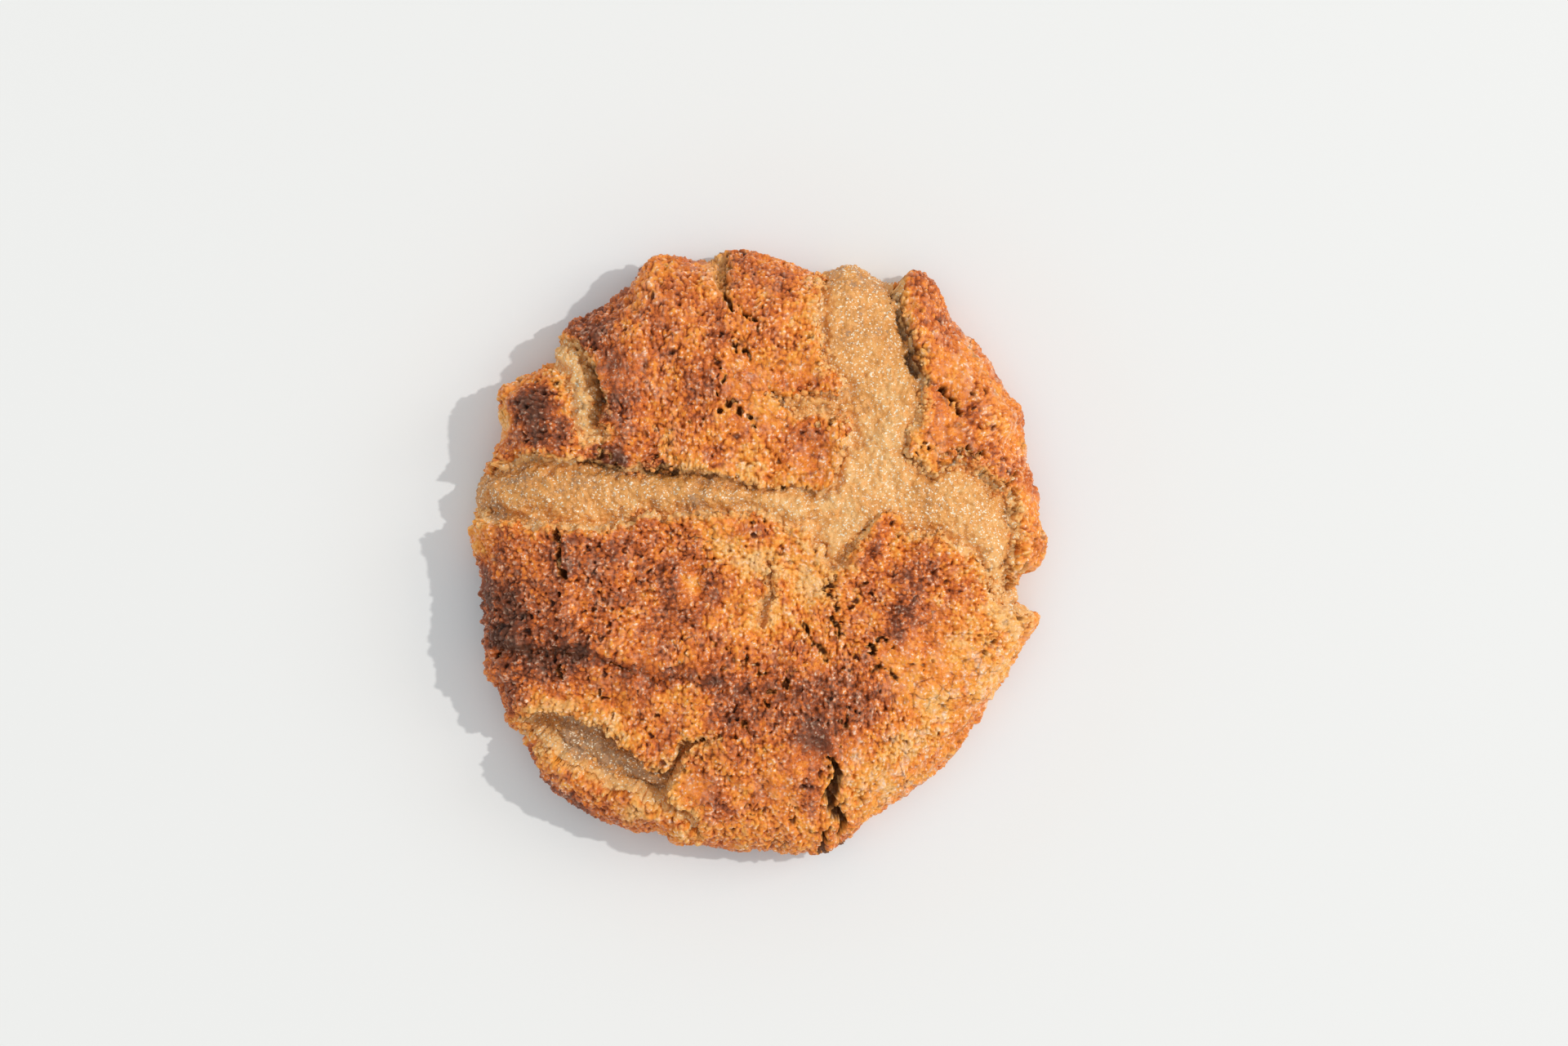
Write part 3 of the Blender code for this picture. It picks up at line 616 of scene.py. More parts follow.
def crust_grain(flat):
    """The crust's grains on clusters twice as wide and on wider clumps, with pits and short fissures."""
    near, _, tint = grains(flat + sideways_push(flat, 0.16, 0.8, 121), GRAIN_WIDTH, 131)
    big_near, big_next, big_tint = grains(flat + sideways_push(flat, 0.45, 1.9, 141), CLUSTER_WIDTH, 151)
    pit_near, _, pit_size = grains(flat + sideways_push(flat, 0.45, 0.7, 161), PIT_SPACING, 171)
    clump_near, clump_next, clump_tint = grains(flat + sideways_push(flat, 0.8, 2.6, 183), CLUMP_WIDTH, 187)
    pitted = smooth_step(-0.5, 0.35, lattice_noise(flat, 4.2, 175))
    cracked = smooth_step(0.0, 0.5, lattice_noise(flat, 0.9, 179))
    loose = smooth_step(-0.1, 0.5, lattice_noise(flat, 3.6, 181))
    return SimpleNamespace(
        tint=tint, big_tint=big_tint, clump_tint=clump_tint,
        dome=(1.0 - (near / 0.6) ** 2) * (0.35 + 1.3 * tint),
        big_dome=1.0 - (big_near / 0.62) ** 2,
        clump=smooth_step(0.0, 0.5, clump_next - clump_near),
        seam=smooth_step(0.12, 0.02, clump_next - clump_near),
        pit=smooth_step(0.0, 0.14, 0.42 * pit_size**3 - pit_near + 0.02) * pitted,
        fissure=smooth_step(0.24, 0.05, big_next - big_near) * cracked * loose,
    )


def kept_inside(points):
    """The points moved to lie just inside the solid's box."""
    lowest, highest = (np.array(corner) / MM for corner in SOLID_BOX)
    return np.clip(points, lowest + BOX_MARGIN, highest - BOX_MARGIN)


@functools.lru_cache(maxsize=1)
def cookie_skin(side, grain_height):
    """Every point of the crust's and the dough's skins, with the values that their finishes read."""
    flat, points, normals = bare_skin(side)
    height = points[:, 2]
    grain = crust_grain(flat)
    smooth_x = points[:, 0] + lumps(points, EDGE_WANDER, seed=11)
    smooth_y = points[:, 1] + lumps(points, EDGE_WANDER, seed=21)
    x = smooth_x + lumps(flat, RAGGED_EDGE, seed=101)
    y = smooth_y + lumps(flat, RAGGED_EDGE, seed=111)

    def noise(size, seed):
        return lattice_noise(flat, size, seed)

    def spread(table):
        return chain_swells(x, y, table)

    # The wall on the upper right of a gap hangs over its foot, which is lowered and darkened with painted
    # shadow.
    outside, drop = gap_fields(x, y, height)
    ahead, behind = (gap_fields(x + 0.3 * way, y + 0.4 * way, height)[0] for way in (1.0, -1.0))
    overhang = smooth_step(0.15, 0.7, ahead - behind)
    outside = outside - spread(OPENED)
    deep_foot = spread(DEEP_FEET)
    ragged_foot = smooth_step(-0.1, 0.5, noise(1.6, 118) + 0.7 * deep_foot) * (0.5 + 0.5 * deep_foot)
    shadowed_foot = overhang * np.exp(-((outside + 0.5) / (0.5 + 0.6 * deep_foot)) ** 2) * ragged_foot
    shadowed_foot = shadowed_foot * smooth_step(3.0, 7.0, height)

    pale_crumb = unit(spread(PALE_CRUMB))
    bridges = 0.9 * smooth_step(-0.15, 0.12, noise(0.75, 117)) * (1.0 - pale_crumb)
    crack = crack_depths(x, y, 0.20 + layered(flat, CRACK_WANDER), bridges)

    upward = smooth_step(0.15, 0.75, normals[:, 2])
    facing = smooth_step(-0.2, 0.3, normals[:, 2])
    clear_of_foot = smooth_step(0.0, 3.0, height)
    low = smooth_step(0.0, 1.2, height)
    folds = spread(SWELLS)
    lip = LIP_HEIGHT * np.exp(-((outside - LIP_REACH) / LIP_REACH) ** 2) * (outside > -LIP_REACH)
    sideways = (1.0 - upward) * lumps(points, SIDE_LUMPS, seed=51)

    # Smooth skin, a painted sheen of highlight streaks, and crackle drawn as fine lines of painted shade,
    # only where the crust isn't broken
    crumbly = np.maximum(smooth_step(1.8, -0.2, outside), smooth_step(0.1, 0.6, crack))
    unbroken = 1.0 - crumbly
    skinned = smooth_step(0.15, 0.6, noise(6.5, 191) + spread(SMOOTH_SKIN)) * unbroken
    rough = 1.0 - 0.6 * skinned
    streaks = lattice_noise(flat * (1.5, 0.7), 1.1, 197) + 0.4 * noise(0.5, 199)
    painted_sheen = 0.75 * unit(0.35 + spread(PAINTED_SHEEN)) * smooth_step(0.1, 0.6, streaks) * unbroken
    crackle = grain.seam * skinned * smooth_step(0.0, 0.4, noise(2.2, 193))

    crust_macro = upward * (folds + lip + lumps(points, CRUST_LUMPS, seed=31)) + sideways
    wrinkle = 0.28 * lattice_noise(flat * (0.5, 2.2), 1.3, 195) * unit(spread(WRINKLES))
    bite_depth = 0.9 + 0.7 * smooth_step(-20.0, -40.0, x)
    bite = (1.0 - upward) * (
        bite_depth * np.maximum(0.1 - lattice_noise(points, 1.7, 421), 0.0)
        + 0.6 * np.maximum(-lattice_noise(points, 0.8, 423), 0.0)
    )
    crust_base = points + normals * ((crust_macro - crack * facing) * clear_of_foot)[:, None]
    crust_normals = face_normals(points + normals * (crust_macro * clear_of_foot)[:, None], side)
    relief = (
        rough * (1.25 * np.minimum(grain.dome, 0.62) + 0.5 * grain.big_dome + 0.5 * grain.clump)
        + crumbly * (0.5 * grain.dome + 0.6 * grain.big_dome + 0.9 * lattice_noise(crust_base, 0.9, 431))
        + layered(flat, FINE_RELIEF)
    )
    cut = rough * (0.7 * grain.pit + 0.4 * grain.fissure) - wrinkle + bite
    cut += (1.2 - 0.7 * overhang) * smooth_step(0.6, -0.45, outside + layered(flat, BROKEN_EDGE))
    crust = crust_base + crust_normals * ((grain_height * relief - cut) * low)[:, None]

    # The dough passes under the crust's edge. Its broken walls are crumbs, and the rest is paste.
    shift = layered(flat, WALL_WANDER) - 0.1
    soft = unit(chain_swells(smooth_x, smooth_y, SOFT_WALLS))
    wall_run = 1.05 * (1.0 + 1.6 * soft)
    uneven = 0.35 * (1.0 - soft)
    even_x, even_y = smooth_x + uneven * (x - smooth_x), smooth_y + uneven * (y - smooth_y)
    even_outside = gap_fields(even_x, even_y, height)[0] - chain_swells(even_x, even_y, OPENED)
    under = smooth_step(0.0, 1.0, 1.0 + (even_outside + 0.35 * shift - 0.35) / wall_run)
    dough_folds = folds * (0.4 + 0.6 * (outside > 0)) + spread(DOUGH_SWELLS)
    dough_macro = upward * (dough_folds + lumps(points, DOUGH_LUMPS, seed=41)) + sideways
    dough_height = (dough_macro - drop * facing) * (1.0 - under)
    dough_height += (crust_macro - (CRUST_COVER + crack) * facing) * under
    beneath = (CRUST_COVER * (1.0 - facing * clear_of_foot) + bite) * under
    core_smooth = points + normals * (dough_height * clear_of_foot - beneath - 1.1 * shadowed_foot)[:, None]
    wall = unit(smooth_step(-1.25, -0.25, outside + shift) + spread(CRUMBLED))
    crumbs = (
        grain_height * (1.2 * grain.dome + 1.5 * grain.big_dome + 0.5 * noise(0.4, 201)) * (1.0 - soft)
        + (0.34 + 0.2 * soft) * lattice_noise(core_smooth, 1.0, 433)
        + (0.2 + 0.16 * soft) * lattice_noise(core_smooth, 0.5, 435)
    )
    paste = layered(flat, DOUGH_PASTE) + 0.13 * grain.dome
    dough_relief = (wall * crumbs + (1.0 - wall) * paste) * (outside < 2.2) * low
    core = core_smooth + face_normals(core_smooth, side) * dough_relief[:, None]
    crust, core = kept_inside(crust), kept_inside(core)
    for skin in (crust, core):
        skin[:, 2] = np.maximum(skin[:, 2], LOWEST_SKIN)

    crumb_edge = outside + layered(flat, CRUMB_EDGE)
    # Browning is the crust's own baked tone, paler at broken edges and cracks; the darker browning in the
    # valleys between grains and round the edges of clumps is painted shade
    browning = (
        0.47 + spread(BROWNING) + layered(flat, BAKED_PATCHES)
        + (0.04 - 0.16 * grain.tint**3) * rough + 0.08 * (grain.big_tint - 0.5)
        + 0.08 * np.clip(0.45 - grain.dome, -0.6, 0.8) * rough + 0.05 * (0.4 - grain.big_dome) * rough
        + 0.08 * (grain.clump_tint - 0.5) + 0.05 * (0.6 - grain.clump) * rough
        - 0.21 * smooth_step(2.2, 0.1, crumb_edge)
        - 0.18 * smooth_step(0.05, 0.5, crack)
        + 0.10 * smooth_step(9.0, 2.0, height)
    )
    hole = smooth_step(0.5, 1.3, crack * (0.95 + 0.6 * noise(0.6, 285))) * (1.0 - 0.7 * pale_crumb)
    broken = np.maximum(
        smooth_step(0.3, -0.35, crumb_edge + spread(GOLDEN_EDGES)), 0.4 * smooth_step(0.2, 0.8, crack)
    )
    # Painted shade: darkening in pits, fissures, the valleys between grains, holes in cracks, the fine
    # crackle of the skin and the shadowed feet of walls
    cavity_shade = (
        (0.95 * grain.pit + 0.7 * grain.fissure + 0.38 * smooth_step(0.3, -0.4, grain.dome)) * rough
        + hole + 0.6 * crackle + 1.2 * shadowed_foot
    )
    # Painted shade in the dough: between crumb clusters on broken walls, at the shadowed feet of walls and in
    # cracks
    hollow = 0.55 * smooth_step(0.15, -0.5, grain.big_dome) * wall + 1.1 * shadowed_foot + smooth_step(0.3, 1.0, crack)
    lining_depth = LINING_DEPTH + 3.0 * smooth_step(0.0, 4.0, outside) + 0.6 * crack
    return SimpleNamespace(
        points=points, outside=outside, crust=crust, core=core, normals=crust_normals,
        lining=crust_base - normals * lining_depth[:, None],
        crust_values={
            "browning": np.clip(browning, 0.09, 1.2),
            "crumb": np.maximum(broken, pale_crumb),
            "painted_shine": unit(0.9 * grain.dome + 0.5 * grain.big_dome - 0.55),
            "cavity_shade": unit(cavity_shade),
            "skinned": skinned,
            "painted_sheen": painted_sheen,
        },
        dough_values={
            "wall": wall,
            "hollow": unit(hollow),
            "pale": unit(0.55 + layered(flat, PALE_PATCHES) + spread(DOUGH_TONE)),
        },
    )


# Meshes


def grid_sheet(steps):
    """A square grid whose vertices know their place in the rows."""
    sheet = bmesh.new()
    bmesh.ops.create_grid(sheet, x_segments=steps, y_segments=steps, size=1.0)
    side = math.isqrt(len(sheet.verts))
    place = sheet.verts.layers.int.new("place")
    for vert in sheet.verts:
        column = round((vert.co.x + 1.0) / 2.0 * (side - 1))
        row = round((vert.co.y + 1.0) / 2.0 * (side - 1))
        vert[place] = row * side + column
    return sheet, side


def keep_faces(sheet, kept, region):
    """Removes faces with a corner that isn't kept, or whose first corner is in another region."""
    place = sheet.verts.layers.int["place"]
    gone = []
    for face in sheet.faces:
        corners = [vert[place] for vert in face.verts]
        if not region[min(corners)] or not all(kept[corner] for corner in corners):
            gone.append(face)
    bmesh.ops.delete(sheet, geom=gone, context="FACES")


def thin_out(sheet, verts):
    """Leaves about one in sixteen of these vertices of a grid, where nothing shows."""
    bmesh.ops.unsubdivide(sheet, verts=verts, iterations=4)


def closed_plate(sheet, outer, inner):
    """Makes the sheet a closed plate between its outer skin and a coarser lining."""
    place = sheet.verts.layers.int["place"]
    made = bmesh.ops.extrude_face_region(
        sheet, geom=sheet.verts[:] + sheet.edges[:] + sheet.faces[:], use_keep_orig=True
    )
    new = {part for part in made["geom"] if isinstance(part, bmesh.types.BMVert)}
    lining = []
    for vert in sheet.verts:
        if vert in new:
            vert.co = outer[vert[place]] * MM
        else:
            vert.co = inner[vert[place]] * MM
            if not any(edge.other_vert(vert) in new for edge in vert.link_edges):
                lining.append(vert)
    for edge in sheet.edges:
        first, second = edge.verts
        if first in new and second in new:
            if any(any(v not in new for v in face.verts) for face in edge.link_faces):
                edge.smooth = False
    bmesh.ops.recalc_face_normals(sheet, faces=sheet.faces)
    thin_out(sheet, lining)


def added(name, data):
    """A new object of the scene that holds this data."""
    item = bpy.data.objects.new(name, data)
    bpy.context.scene.collection.objects.link(item)
    return item


def finished(name, sheet, material, triangles=None, values=None):
    """Turns a bmesh into a piece that rides on the body, with its point values as attributes."""
    mesh = bpy.data.meshes.new(name)
    bmesh.ops.triangulate(sheet, faces=sheet.faces)
    count = len(sheet.faces)
    place = sheet.verts.layers.int["place"]
    index = np.array([vert[place] for vert in sheet.verts])
    sheet.to_mesh(mesh)
    sheet.free()
    for key, numbers in (values or {}).items():
        layer = mesh.attributes.new(key, "FLOAT", "POINT")
        layer.data.foreach_set("value", numbers[index].astype(np.float32))
    mesh.attributes.remove(mesh.attributes["place"])
    mesh.polygons.foreach_set("use_smooth", [True] * len(mesh.polygons))
    piece = added(name, mesh)
    if triangles and count > triangles:
        thinner = piece.modifiers.new("fewer_triangles", "DECIMATE")
        thinner.ratio = triangles / count
        graph = bpy.context.evaluated_depsgraph_get()
        thinned = bpy.data.meshes.new_from_object(piece.evaluated_get(graph))
        piece.modifiers.clear()
        piece.data = thinned
        bpy.data.meshes.remove(mesh)
        thinned.name = name
    piece.data.materials.clear()
    piece.data.materials.append(material)
    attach(piece, BODY)
    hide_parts(NODE)


# Materials


def node_group(name, inputs, outputs):
    """An empty shader node group with these named sockets."""
    group = bpy.data.node_groups.new(name, "ShaderNodeTree")
    for label, kind, default in inputs:
        socket = group.interface.new_socket(name=label, in_out="INPUT", socket_type=kind)
        if default is not None:
            socket.default_value = default
    for label, kind in outputs:
        group.interface.new_socket(name=label, in_out="OUTPUT", socket_type=kind)
    return group, group.nodes.new("NodeGroupInput"), group.nodes.new("NodeGroupOutput")


def join(tree, value, socket):
    """Joins an output to the socket, or sets the socket to a number or a colour."""
    if isinstance(value, bpy.types.NodeSocket):
        tree.links.new(value, socket)
    elif socket.type == "RGBA" and len(value) == 3:
        socket.default_value = (*value, 1.0)
    else:
        socket.default_value = value


def make(tree, kind, settings=None, **links):
    """Adds a node, sets its properties and joins or sets its inputs by name or number."""
    node = tree.nodes.new(kind)
    for key, value in (settings or {}).items():
        setattr(node, key, value)
    for key, value in links.items():
        key = int(key[1:]) if key[0] == "i" and key[1:].isdigit() else key.replace("_", " ")
        join(tree, value, node.inputs[key])
    return node


def ramp(tree, factor, stops):
    """A colour ramp with these places and colours."""
    node = make(tree, "ShaderNodeValToRGB", Fac=factor)
    points = node.color_ramp.elements
    while len(points) > 1:
        points.remove(points[-1])
    for n, (spot, colour) in enumerate(stops):
        point = points[0] if n == 0 else points.new(spot)
        point.position = spot
        point.color = (*colour, 1.0)
    return node.outputs["Color"]


def mix(tree, factor, one, two, blend="MIX"):
    """A mix of two colours."""
    settings = {"data_type": "RGBA", "blend_type": blend}
    return make(tree, "ShaderNodeMix", settings, i0=factor, i6=one, i7=two).outputs[2]


def maths(tree, operation, one, two=0.5, three=0.0, clamp=False):
    """The result of one arithmetic step."""
    settings = {"operation": operation, "use_clamp": clamp}
    return make(tree, "ShaderNodeMath", settings, i0=one, i1=two, i2=three).outputs[0]


def varied(tree, mask, amount, level):
    """The level, moved up and down by up to half this amount."""
    return maths(tree, "MULTIPLY_ADD", maths(tree, "SUBTRACT", mask, 0.5), amount, level)


def beyond(tree, value, limit, gain):
    """How far the value passes the limit, times the gain, from 0 to 1."""
    return maths(tree, "MULTIPLY", maths(tree, "SUBTRACT", value, limit, clamp=True), gain, clamp=True)


def attribute(tree, name):
    """A point value of the mesh."""
    node = tree.nodes.new("ShaderNodeAttribute")
    node.attribute_name = name
    return node.outputs["Fac"]


def place_on_object(tree):
    """The place of each point on its object, in metres."""
    return tree.nodes.new("ShaderNodeTexCoord").outputs["Object"]


@functools.lru_cache(maxsize=1)
def grain_group():
    """Fine grain of a baked surface: a height for bump, and a speckle mask."""
    group, entry, leave = node_group(
        "fine_grain",
        [("Size", "NodeSocketFloat", 0.3), ("Roughness", "NodeSocketFloat", 0.6)],
        [("Height", "NodeSocketFloat"), ("Speckle", "NodeSocketFloat")],
    )
    spot = place_on_object(group)
    scale = maths(group, "DIVIDE", 1000.0, entry.outputs["Size"])
    noise = make(
        group, "ShaderNodeTexNoise", Vector=spot, Scale=scale, Detail=4.0,
        Roughness=entry.outputs["Roughness"],
    )
    cell = make(group, "ShaderNodeTexVoronoi", Vector=spot, Scale=scale)
    dips = maths(group, "MULTIPLY", cell.outputs["Distance"], 0.6)
    value = make(group, "ShaderNodeSeparateColor", Color=cell.outputs["Color"]).outputs["Red"]
    join(group, maths(group, "SUBTRACT", noise.outputs["Fac"], dips), leave.inputs["Height"])
    join(group, value, leave.inputs["Speckle"])
    return group


@functools.lru_cache(maxsize=1)
def hollow_shade_group():
    """Darkens a colour with painted shade in pits, cracks and other hollows."""
    group, entry, leave = node_group(
        "painted_hollow_shade",
        [
            ("Color", "NodeSocketColor", None),
            ("Hollow", "NodeSocketFloat", 0.0),
            ("Depth", "NodeSocketFloat", 0.8),
        ],
        [("Color", "NodeSocketColor")],
    )
    amount = maths(group, "MULTIPLY", entry.outputs["Hollow"], entry.outputs["Depth"], clamp=True)
    dark = mix(group, 1.0, entry.outputs["Color"], HOLLOW_SHADE_TINT, "MULTIPLY")
    join(group, mix(group, amount, entry.outputs["Color"], dark), leave.inputs["Color"])
    return group


def fine_grain(tree, size, roughness):
    """The outputs of a fine grain of this size in millimetres."""
    return make(tree, "ShaderNodeGroup", {"node_tree": grain_group()}, Size=size, Roughness=roughness).outputs


def shaded_hollows(tree, colour, hollow, depth):
    """The colour, darkened with painted shade where it is hollow."""
    settings = {"node_tree": hollow_shade_group()}
    return make(tree, "ShaderNodeGroup", settings, Color=colour, Hollow=hollow, Depth=depth).outputs["Color"]


def principled(name):
    """A new material with its tree and its shader."""
    material = bpy.data.materials.new(name)
    material.use_nodes = True
    tree = material.node_tree
    return material, tree, tree.nodes["Principled BSDF"]


def dress(tree, shader, colour, roughness, height, strength, distance):
    """Gives the shader its colour and roughness, and a bump of this strength and distance."""
    bump = make(tree, "ShaderNodeBump", Strength=strength, Distance=distance, Height=height)
    join(tree, colour, shader.inputs["Base Color"])
    join(tree, roughness, shader.inputs["Roughness"])
    join(tree, bump.outputs["Normal"], shader.inputs["Normal"])


def shade(name):
    """One of the cookie's colours."""
    return tuple(getattr(bpy.context.scene.cookie_looks, name + "_colour"))


def shades(tree, level, **stops):
    """A ramp through the cookie's colours, each at its place."""
    return ramp(tree, level, [(spot, shade(name)) for name, spot in stops.items()])


def baked_ramp(tree, level):
    """Baked colours from pale crumb to burnt."""
    return shades(tree, level, crumb=0.0, golden=0.16, orange=0.36, brown=0.55, dark=0.75, burnt=1.0)


@functools.lru_cache(maxsize=1)
def crust_material():
    """Browned crust: pale to burnt by its browning, with pale crumb at broken edges, painted shade in pits
    and other hollows, and painted highlights on grain tops and smooth skin.
    """
    material, tree, shader = principled("browned_crust")
    fine = fine_grain(tree, 0.30, 0.65)
    finest = fine_grain(tree, 0.14, 0.5)
    mottled = varied(tree, fine["Speckle"], 0.15, attribute(tree, "browning"))
    level = varied(tree, finest["Speckle"], 0.10, mottled)
    golden = maths(tree, "MULTIPLY_ADD", fine["Speckle"], 0.8, 0.2)
    crumb = mix(tree, golden, shade("crumb"), shade("golden"))
    broken = mix(tree, attribute(tree, "crumb"), baked_ramp(tree, level), crumb)
    # Painted highlights: pale glints on the tops of grains and a streaked sheen on smooth skin, fading on
    # burnt crust
    unburnt = maths(tree, "SUBTRACT", 1.3, attribute(tree, "browning"), clamp=True)
    glint_tops = maths(tree, "MULTIPLY", attribute(tree, "painted_shine"), unburnt)
    painted_glints = maths(tree, "MULTIPLY", beyond(tree, fine["Speckle"], 0.68, 8.0), glint_tops, clamp=True)
    streaks = maths(tree, "MULTIPLY_ADD", fine["Speckle"], 0.7, 0.1)
    streaked_sheen = maths(tree, "MULTIPLY", attribute(tree, "painted_sheen"), streaks)
    painted_highlights = maths(tree, "MULTIPLY_ADD", streaked_sheen, unburnt, painted_glints, clamp=True)
    highlighted = mix(tree, painted_highlights, broken, shade("painted_glint"))
    # Painted shade in the crust's pits, cracks and other hollows
    colour = shaded_hollows(tree, highlighted, attribute(tree, "cavity_shade"), 0.95)
    gloss = maths(tree, "MULTIPLY_ADD", maths(tree, "SUBTRACT", 1.0, fine["Speckle"]), 0.20, 0.24)
    dull = maths(tree, "MULTIPLY_ADD", attribute(tree, "crumb"), 0.35, gloss)
    smooth = maths(tree, "MULTIPLY_ADD", attribute(tree, "skinned"), -0.10, dull, clamp=True)
    height = maths(tree, "MULTIPLY_ADD", finest["Height"], 0.4, fine["Height"])
    dress(tree, shader, colour, smooth, height, strength=0.4, distance=0.0002)
    shader.inputs["Specular IOR Level"].default_value = 0.3
    return material


@functools.lru_cache(maxsize=1)
def crumb_material():
    """Loose crumbs, pale to orange."""
    material, tree, shader = principled("loose_crumb")
    fine = fine_grain(tree, 0.25, 0.6)
    level = varied(tree, fine["Speckle"], 0.3, attribute(tree, "browning"))
    colour = mix(tree, 0.25, baked_ramp(tree, level), shade("crumb"))
    dress(tree, shader, colour, 0.6, fine["Height"], strength=0.6, distance=0.0002)
    return material


@functools.lru_cache(maxsize=1)
def dough_material():
    """Pale moist dough with a glistening sugar grain and painted sparkle highlights, dull crumb on its broken
    walls, and painted shade in its hollows.
    """
    material, tree, shader = principled("pale_dough")
    fine = fine_grain(tree, 0.50, 0.6)
    finest = fine_grain(tree, 0.24, 0.5)
    coarse_mottle, fine_mottle = (maths(tree, "SUBTRACT", grain["Speckle"], 0.5) for grain in (fine, finest))
    mottle = maths(tree, "ADD", coarse_mottle, fine_mottle)
    level = maths(tree, "MULTIPLY_ADD", mottle, 0.36, attribute(tree, "pale"))
    dough = shades(tree, level, wet=0.0, moist=0.18, dough=0.60, pale_dough=1.0)
    crumb = mix(tree, maths(tree, "MULTIPLY", fine["Speckle"], 0.6), shade("crumb"), shade("golden"))
    # Painted highlights: sparse near-white sparkles mixed into the dough's colour
    painted_sparkle = beyond(tree, finest["Speckle"], 0.86, 12.0)
    whole = mix(tree, painted_sparkle, mix(tree, attribute(tree, "wall"), dough, crumb), shade("painted_sparkle"))
    # Painted shade in the dough's hollows
    colour = shaded_hollows(tree, whole, attribute(tree, "hollow"), 0.8)
    fleck = make(tree, "ShaderNodeTexVoronoi", Vector=place_on_object(tree), Scale=260.0).outputs["Distance"]
    specked = mix(tree, beyond(tree, 0.032, fleck, 60.0), colour, SPECK_COLOUR)
    gloss = maths(tree, "MULTIPLY_ADD", finest["Speckle"], 0.22, 0.16)
    dull = maths(tree, "MULTIPLY_ADD", attribute(tree, "wall"), 0.35, gloss, clamp=True)
    height = maths(tree, "MULTIPLY_ADD", finest["Height"], 0.6, fine["Height"])
    dress(tree, shader, specked, dull, height, strength=0.6, distance=0.0003)
    shader.inputs["Specular IOR Level"].default_value = 0.5
    return material


@functools.lru_cache(maxsize=1)
def underside_material():
    """The evenly browned base, duller than the top, with painted shade in its pits."""
    material, tree, shader = principled("browned_base")
    fine = fine_grain(tree, 0.5, 0.6)
    spot = place_on_object(tree)
    broad = make(tree, "ShaderNodeTexNoise", Vector=spot, Scale=130.0, Detail=9.0, Roughness=0.7)
    baked = shades(tree, broad.outputs["Fac"], dark=0.25, brown=0.50, orange=0.75)
    cell = make(tree, "ShaderNodeTexVoronoi", Vector=spot, Scale=520.0).outputs["Distance"]
    pit = beyond(tree, 0.30, cell, 6.0)
    rough = maths(tree, "MULTIPLY_ADD", fine["Speckle"], 0.2, 0.55)
    height = maths(tree, "MULTIPLY_ADD", pit, -0.8, fine["Height"])
    # The pits are darkened with painted shade
    dress(tree, shader, shaded_hollows(tree, baked, pit, 0.7), rough, height, strength=0.9, distance=0.0005)
    return material


# Settings


def colour_setting(name, description, default):
    """A colour that can be set."""
    return bpy.props.FloatVectorProperty(
        name=name, description=description, subtype="COLOR", default=default
    )


class CookieForm(bpy.types.PropertyGroup):
    skin_steps: bpy.props.IntProperty(
        name="Skin Steps", description="Cells across the unrolled skin", default=620, min=50, max=700
    )
    grain_height: bpy.props.FloatProperty(
        name="Grain Height", description="How far the crust's grains stand up", default=0.00029,
        unit="LENGTH", precision=5,
    )
    crumb_doublings: bpy.props.IntProperty(
        name="Crumb Doublings", description="How often the loose crumb is doubled", default=11, min=0, max=12
    )
    underside_thickness: bpy.props.FloatProperty(
        name="Base Thickness", description="Thickness of the browned base", default=0.0014,
        unit="LENGTH", precision=5,
    )


class CookieLooks(bpy.types.PropertyGroup):
    crumb_colour: colour_setting("Crumb", "Pale crumb inside the crust", (0.94, 0.575, 0.24))
    golden_colour: colour_setting("Golden", "Lightly baked crust", (0.95, 0.400, 0.060))
    orange_colour: colour_setting("Orange", "Medium baked crust", (0.90, 0.268, 0.026))
    brown_colour: colour_setting("Brown", "Well baked crust", (0.66, 0.148, 0.022))
    dark_colour: colour_setting("Dark Brown", "Heavily baked crust", (0.27, 0.055, 0.012))
    burnt_colour: colour_setting("Burnt", "Burnt crust", (0.12, 0.034, 0.013))
    # Painted highlight colour, for the glints on grain tops and the sheen on smooth skin
    painted_glint_colour: colour_setting("Glint", "Pale shine on the tops of grains", (1.0, 0.72, 0.52))
    # Painted highlight colour of the sparkles in the dough
    painted_sparkle_colour: colour_setting("Sparkle", "Wet sugar grains in the dough", (1.0, 0.88, 0.66))
    wet_colour: colour_setting("Wet Dough", "Dark, half clear dough in the pocket", (0.47, 0.255, 0.125))
    moist_colour: colour_setting("Moist Dough", "Darker, moist dough", (0.67, 0.285, 0.068))
    dough_colour: colour_setting("Dough", "Dough in the splits", (0.86, 0.386, 0.094))
    pale_dough_colour: colour_setting("Pale Dough", "Palest, driest dough", (0.90, 0.505, 0.185))


class CookieStage(bpy.types.PropertyGroup):
    floor_colour: colour_setting("Floor", "Colour of the pale floor", (0.845, 0.845, 0.84))
    # A cooler floor colour near the cookie, painted to cancel the warm light bounced onto it from the cookie
    bounce_tint_floor_colour: colour_setting(
        "Floor Under The Cookie", "Floor near the cookie, which takes up its warm light",
        (0.845, 0.885, 0.915),
    )
    key_strength: bpy.props.FloatProperty(
        name="Key", description="Strength of the low sun-like lamp", default=1.10
    )
    fill_strength: bpy.props.FloatProperty(
        name="Fill", description="Strength of the soft light all round", default=0.70
    )
    box_power: bpy.props.FloatProperty(
        name="Soft Box", description="Power of the soft box on the right, in watts", default=3.0
    )
    view_width: bpy.props.FloatProperty(
        name="View Width", description="Width that the camera takes in", default=0.256, unit="LENGTH"
    )
    camera_height: bpy.props.FloatProperty(
        name="Camera Height", description="Height of the camera over the floor", default=0.9, unit="LENGTH"
    )


# Operators


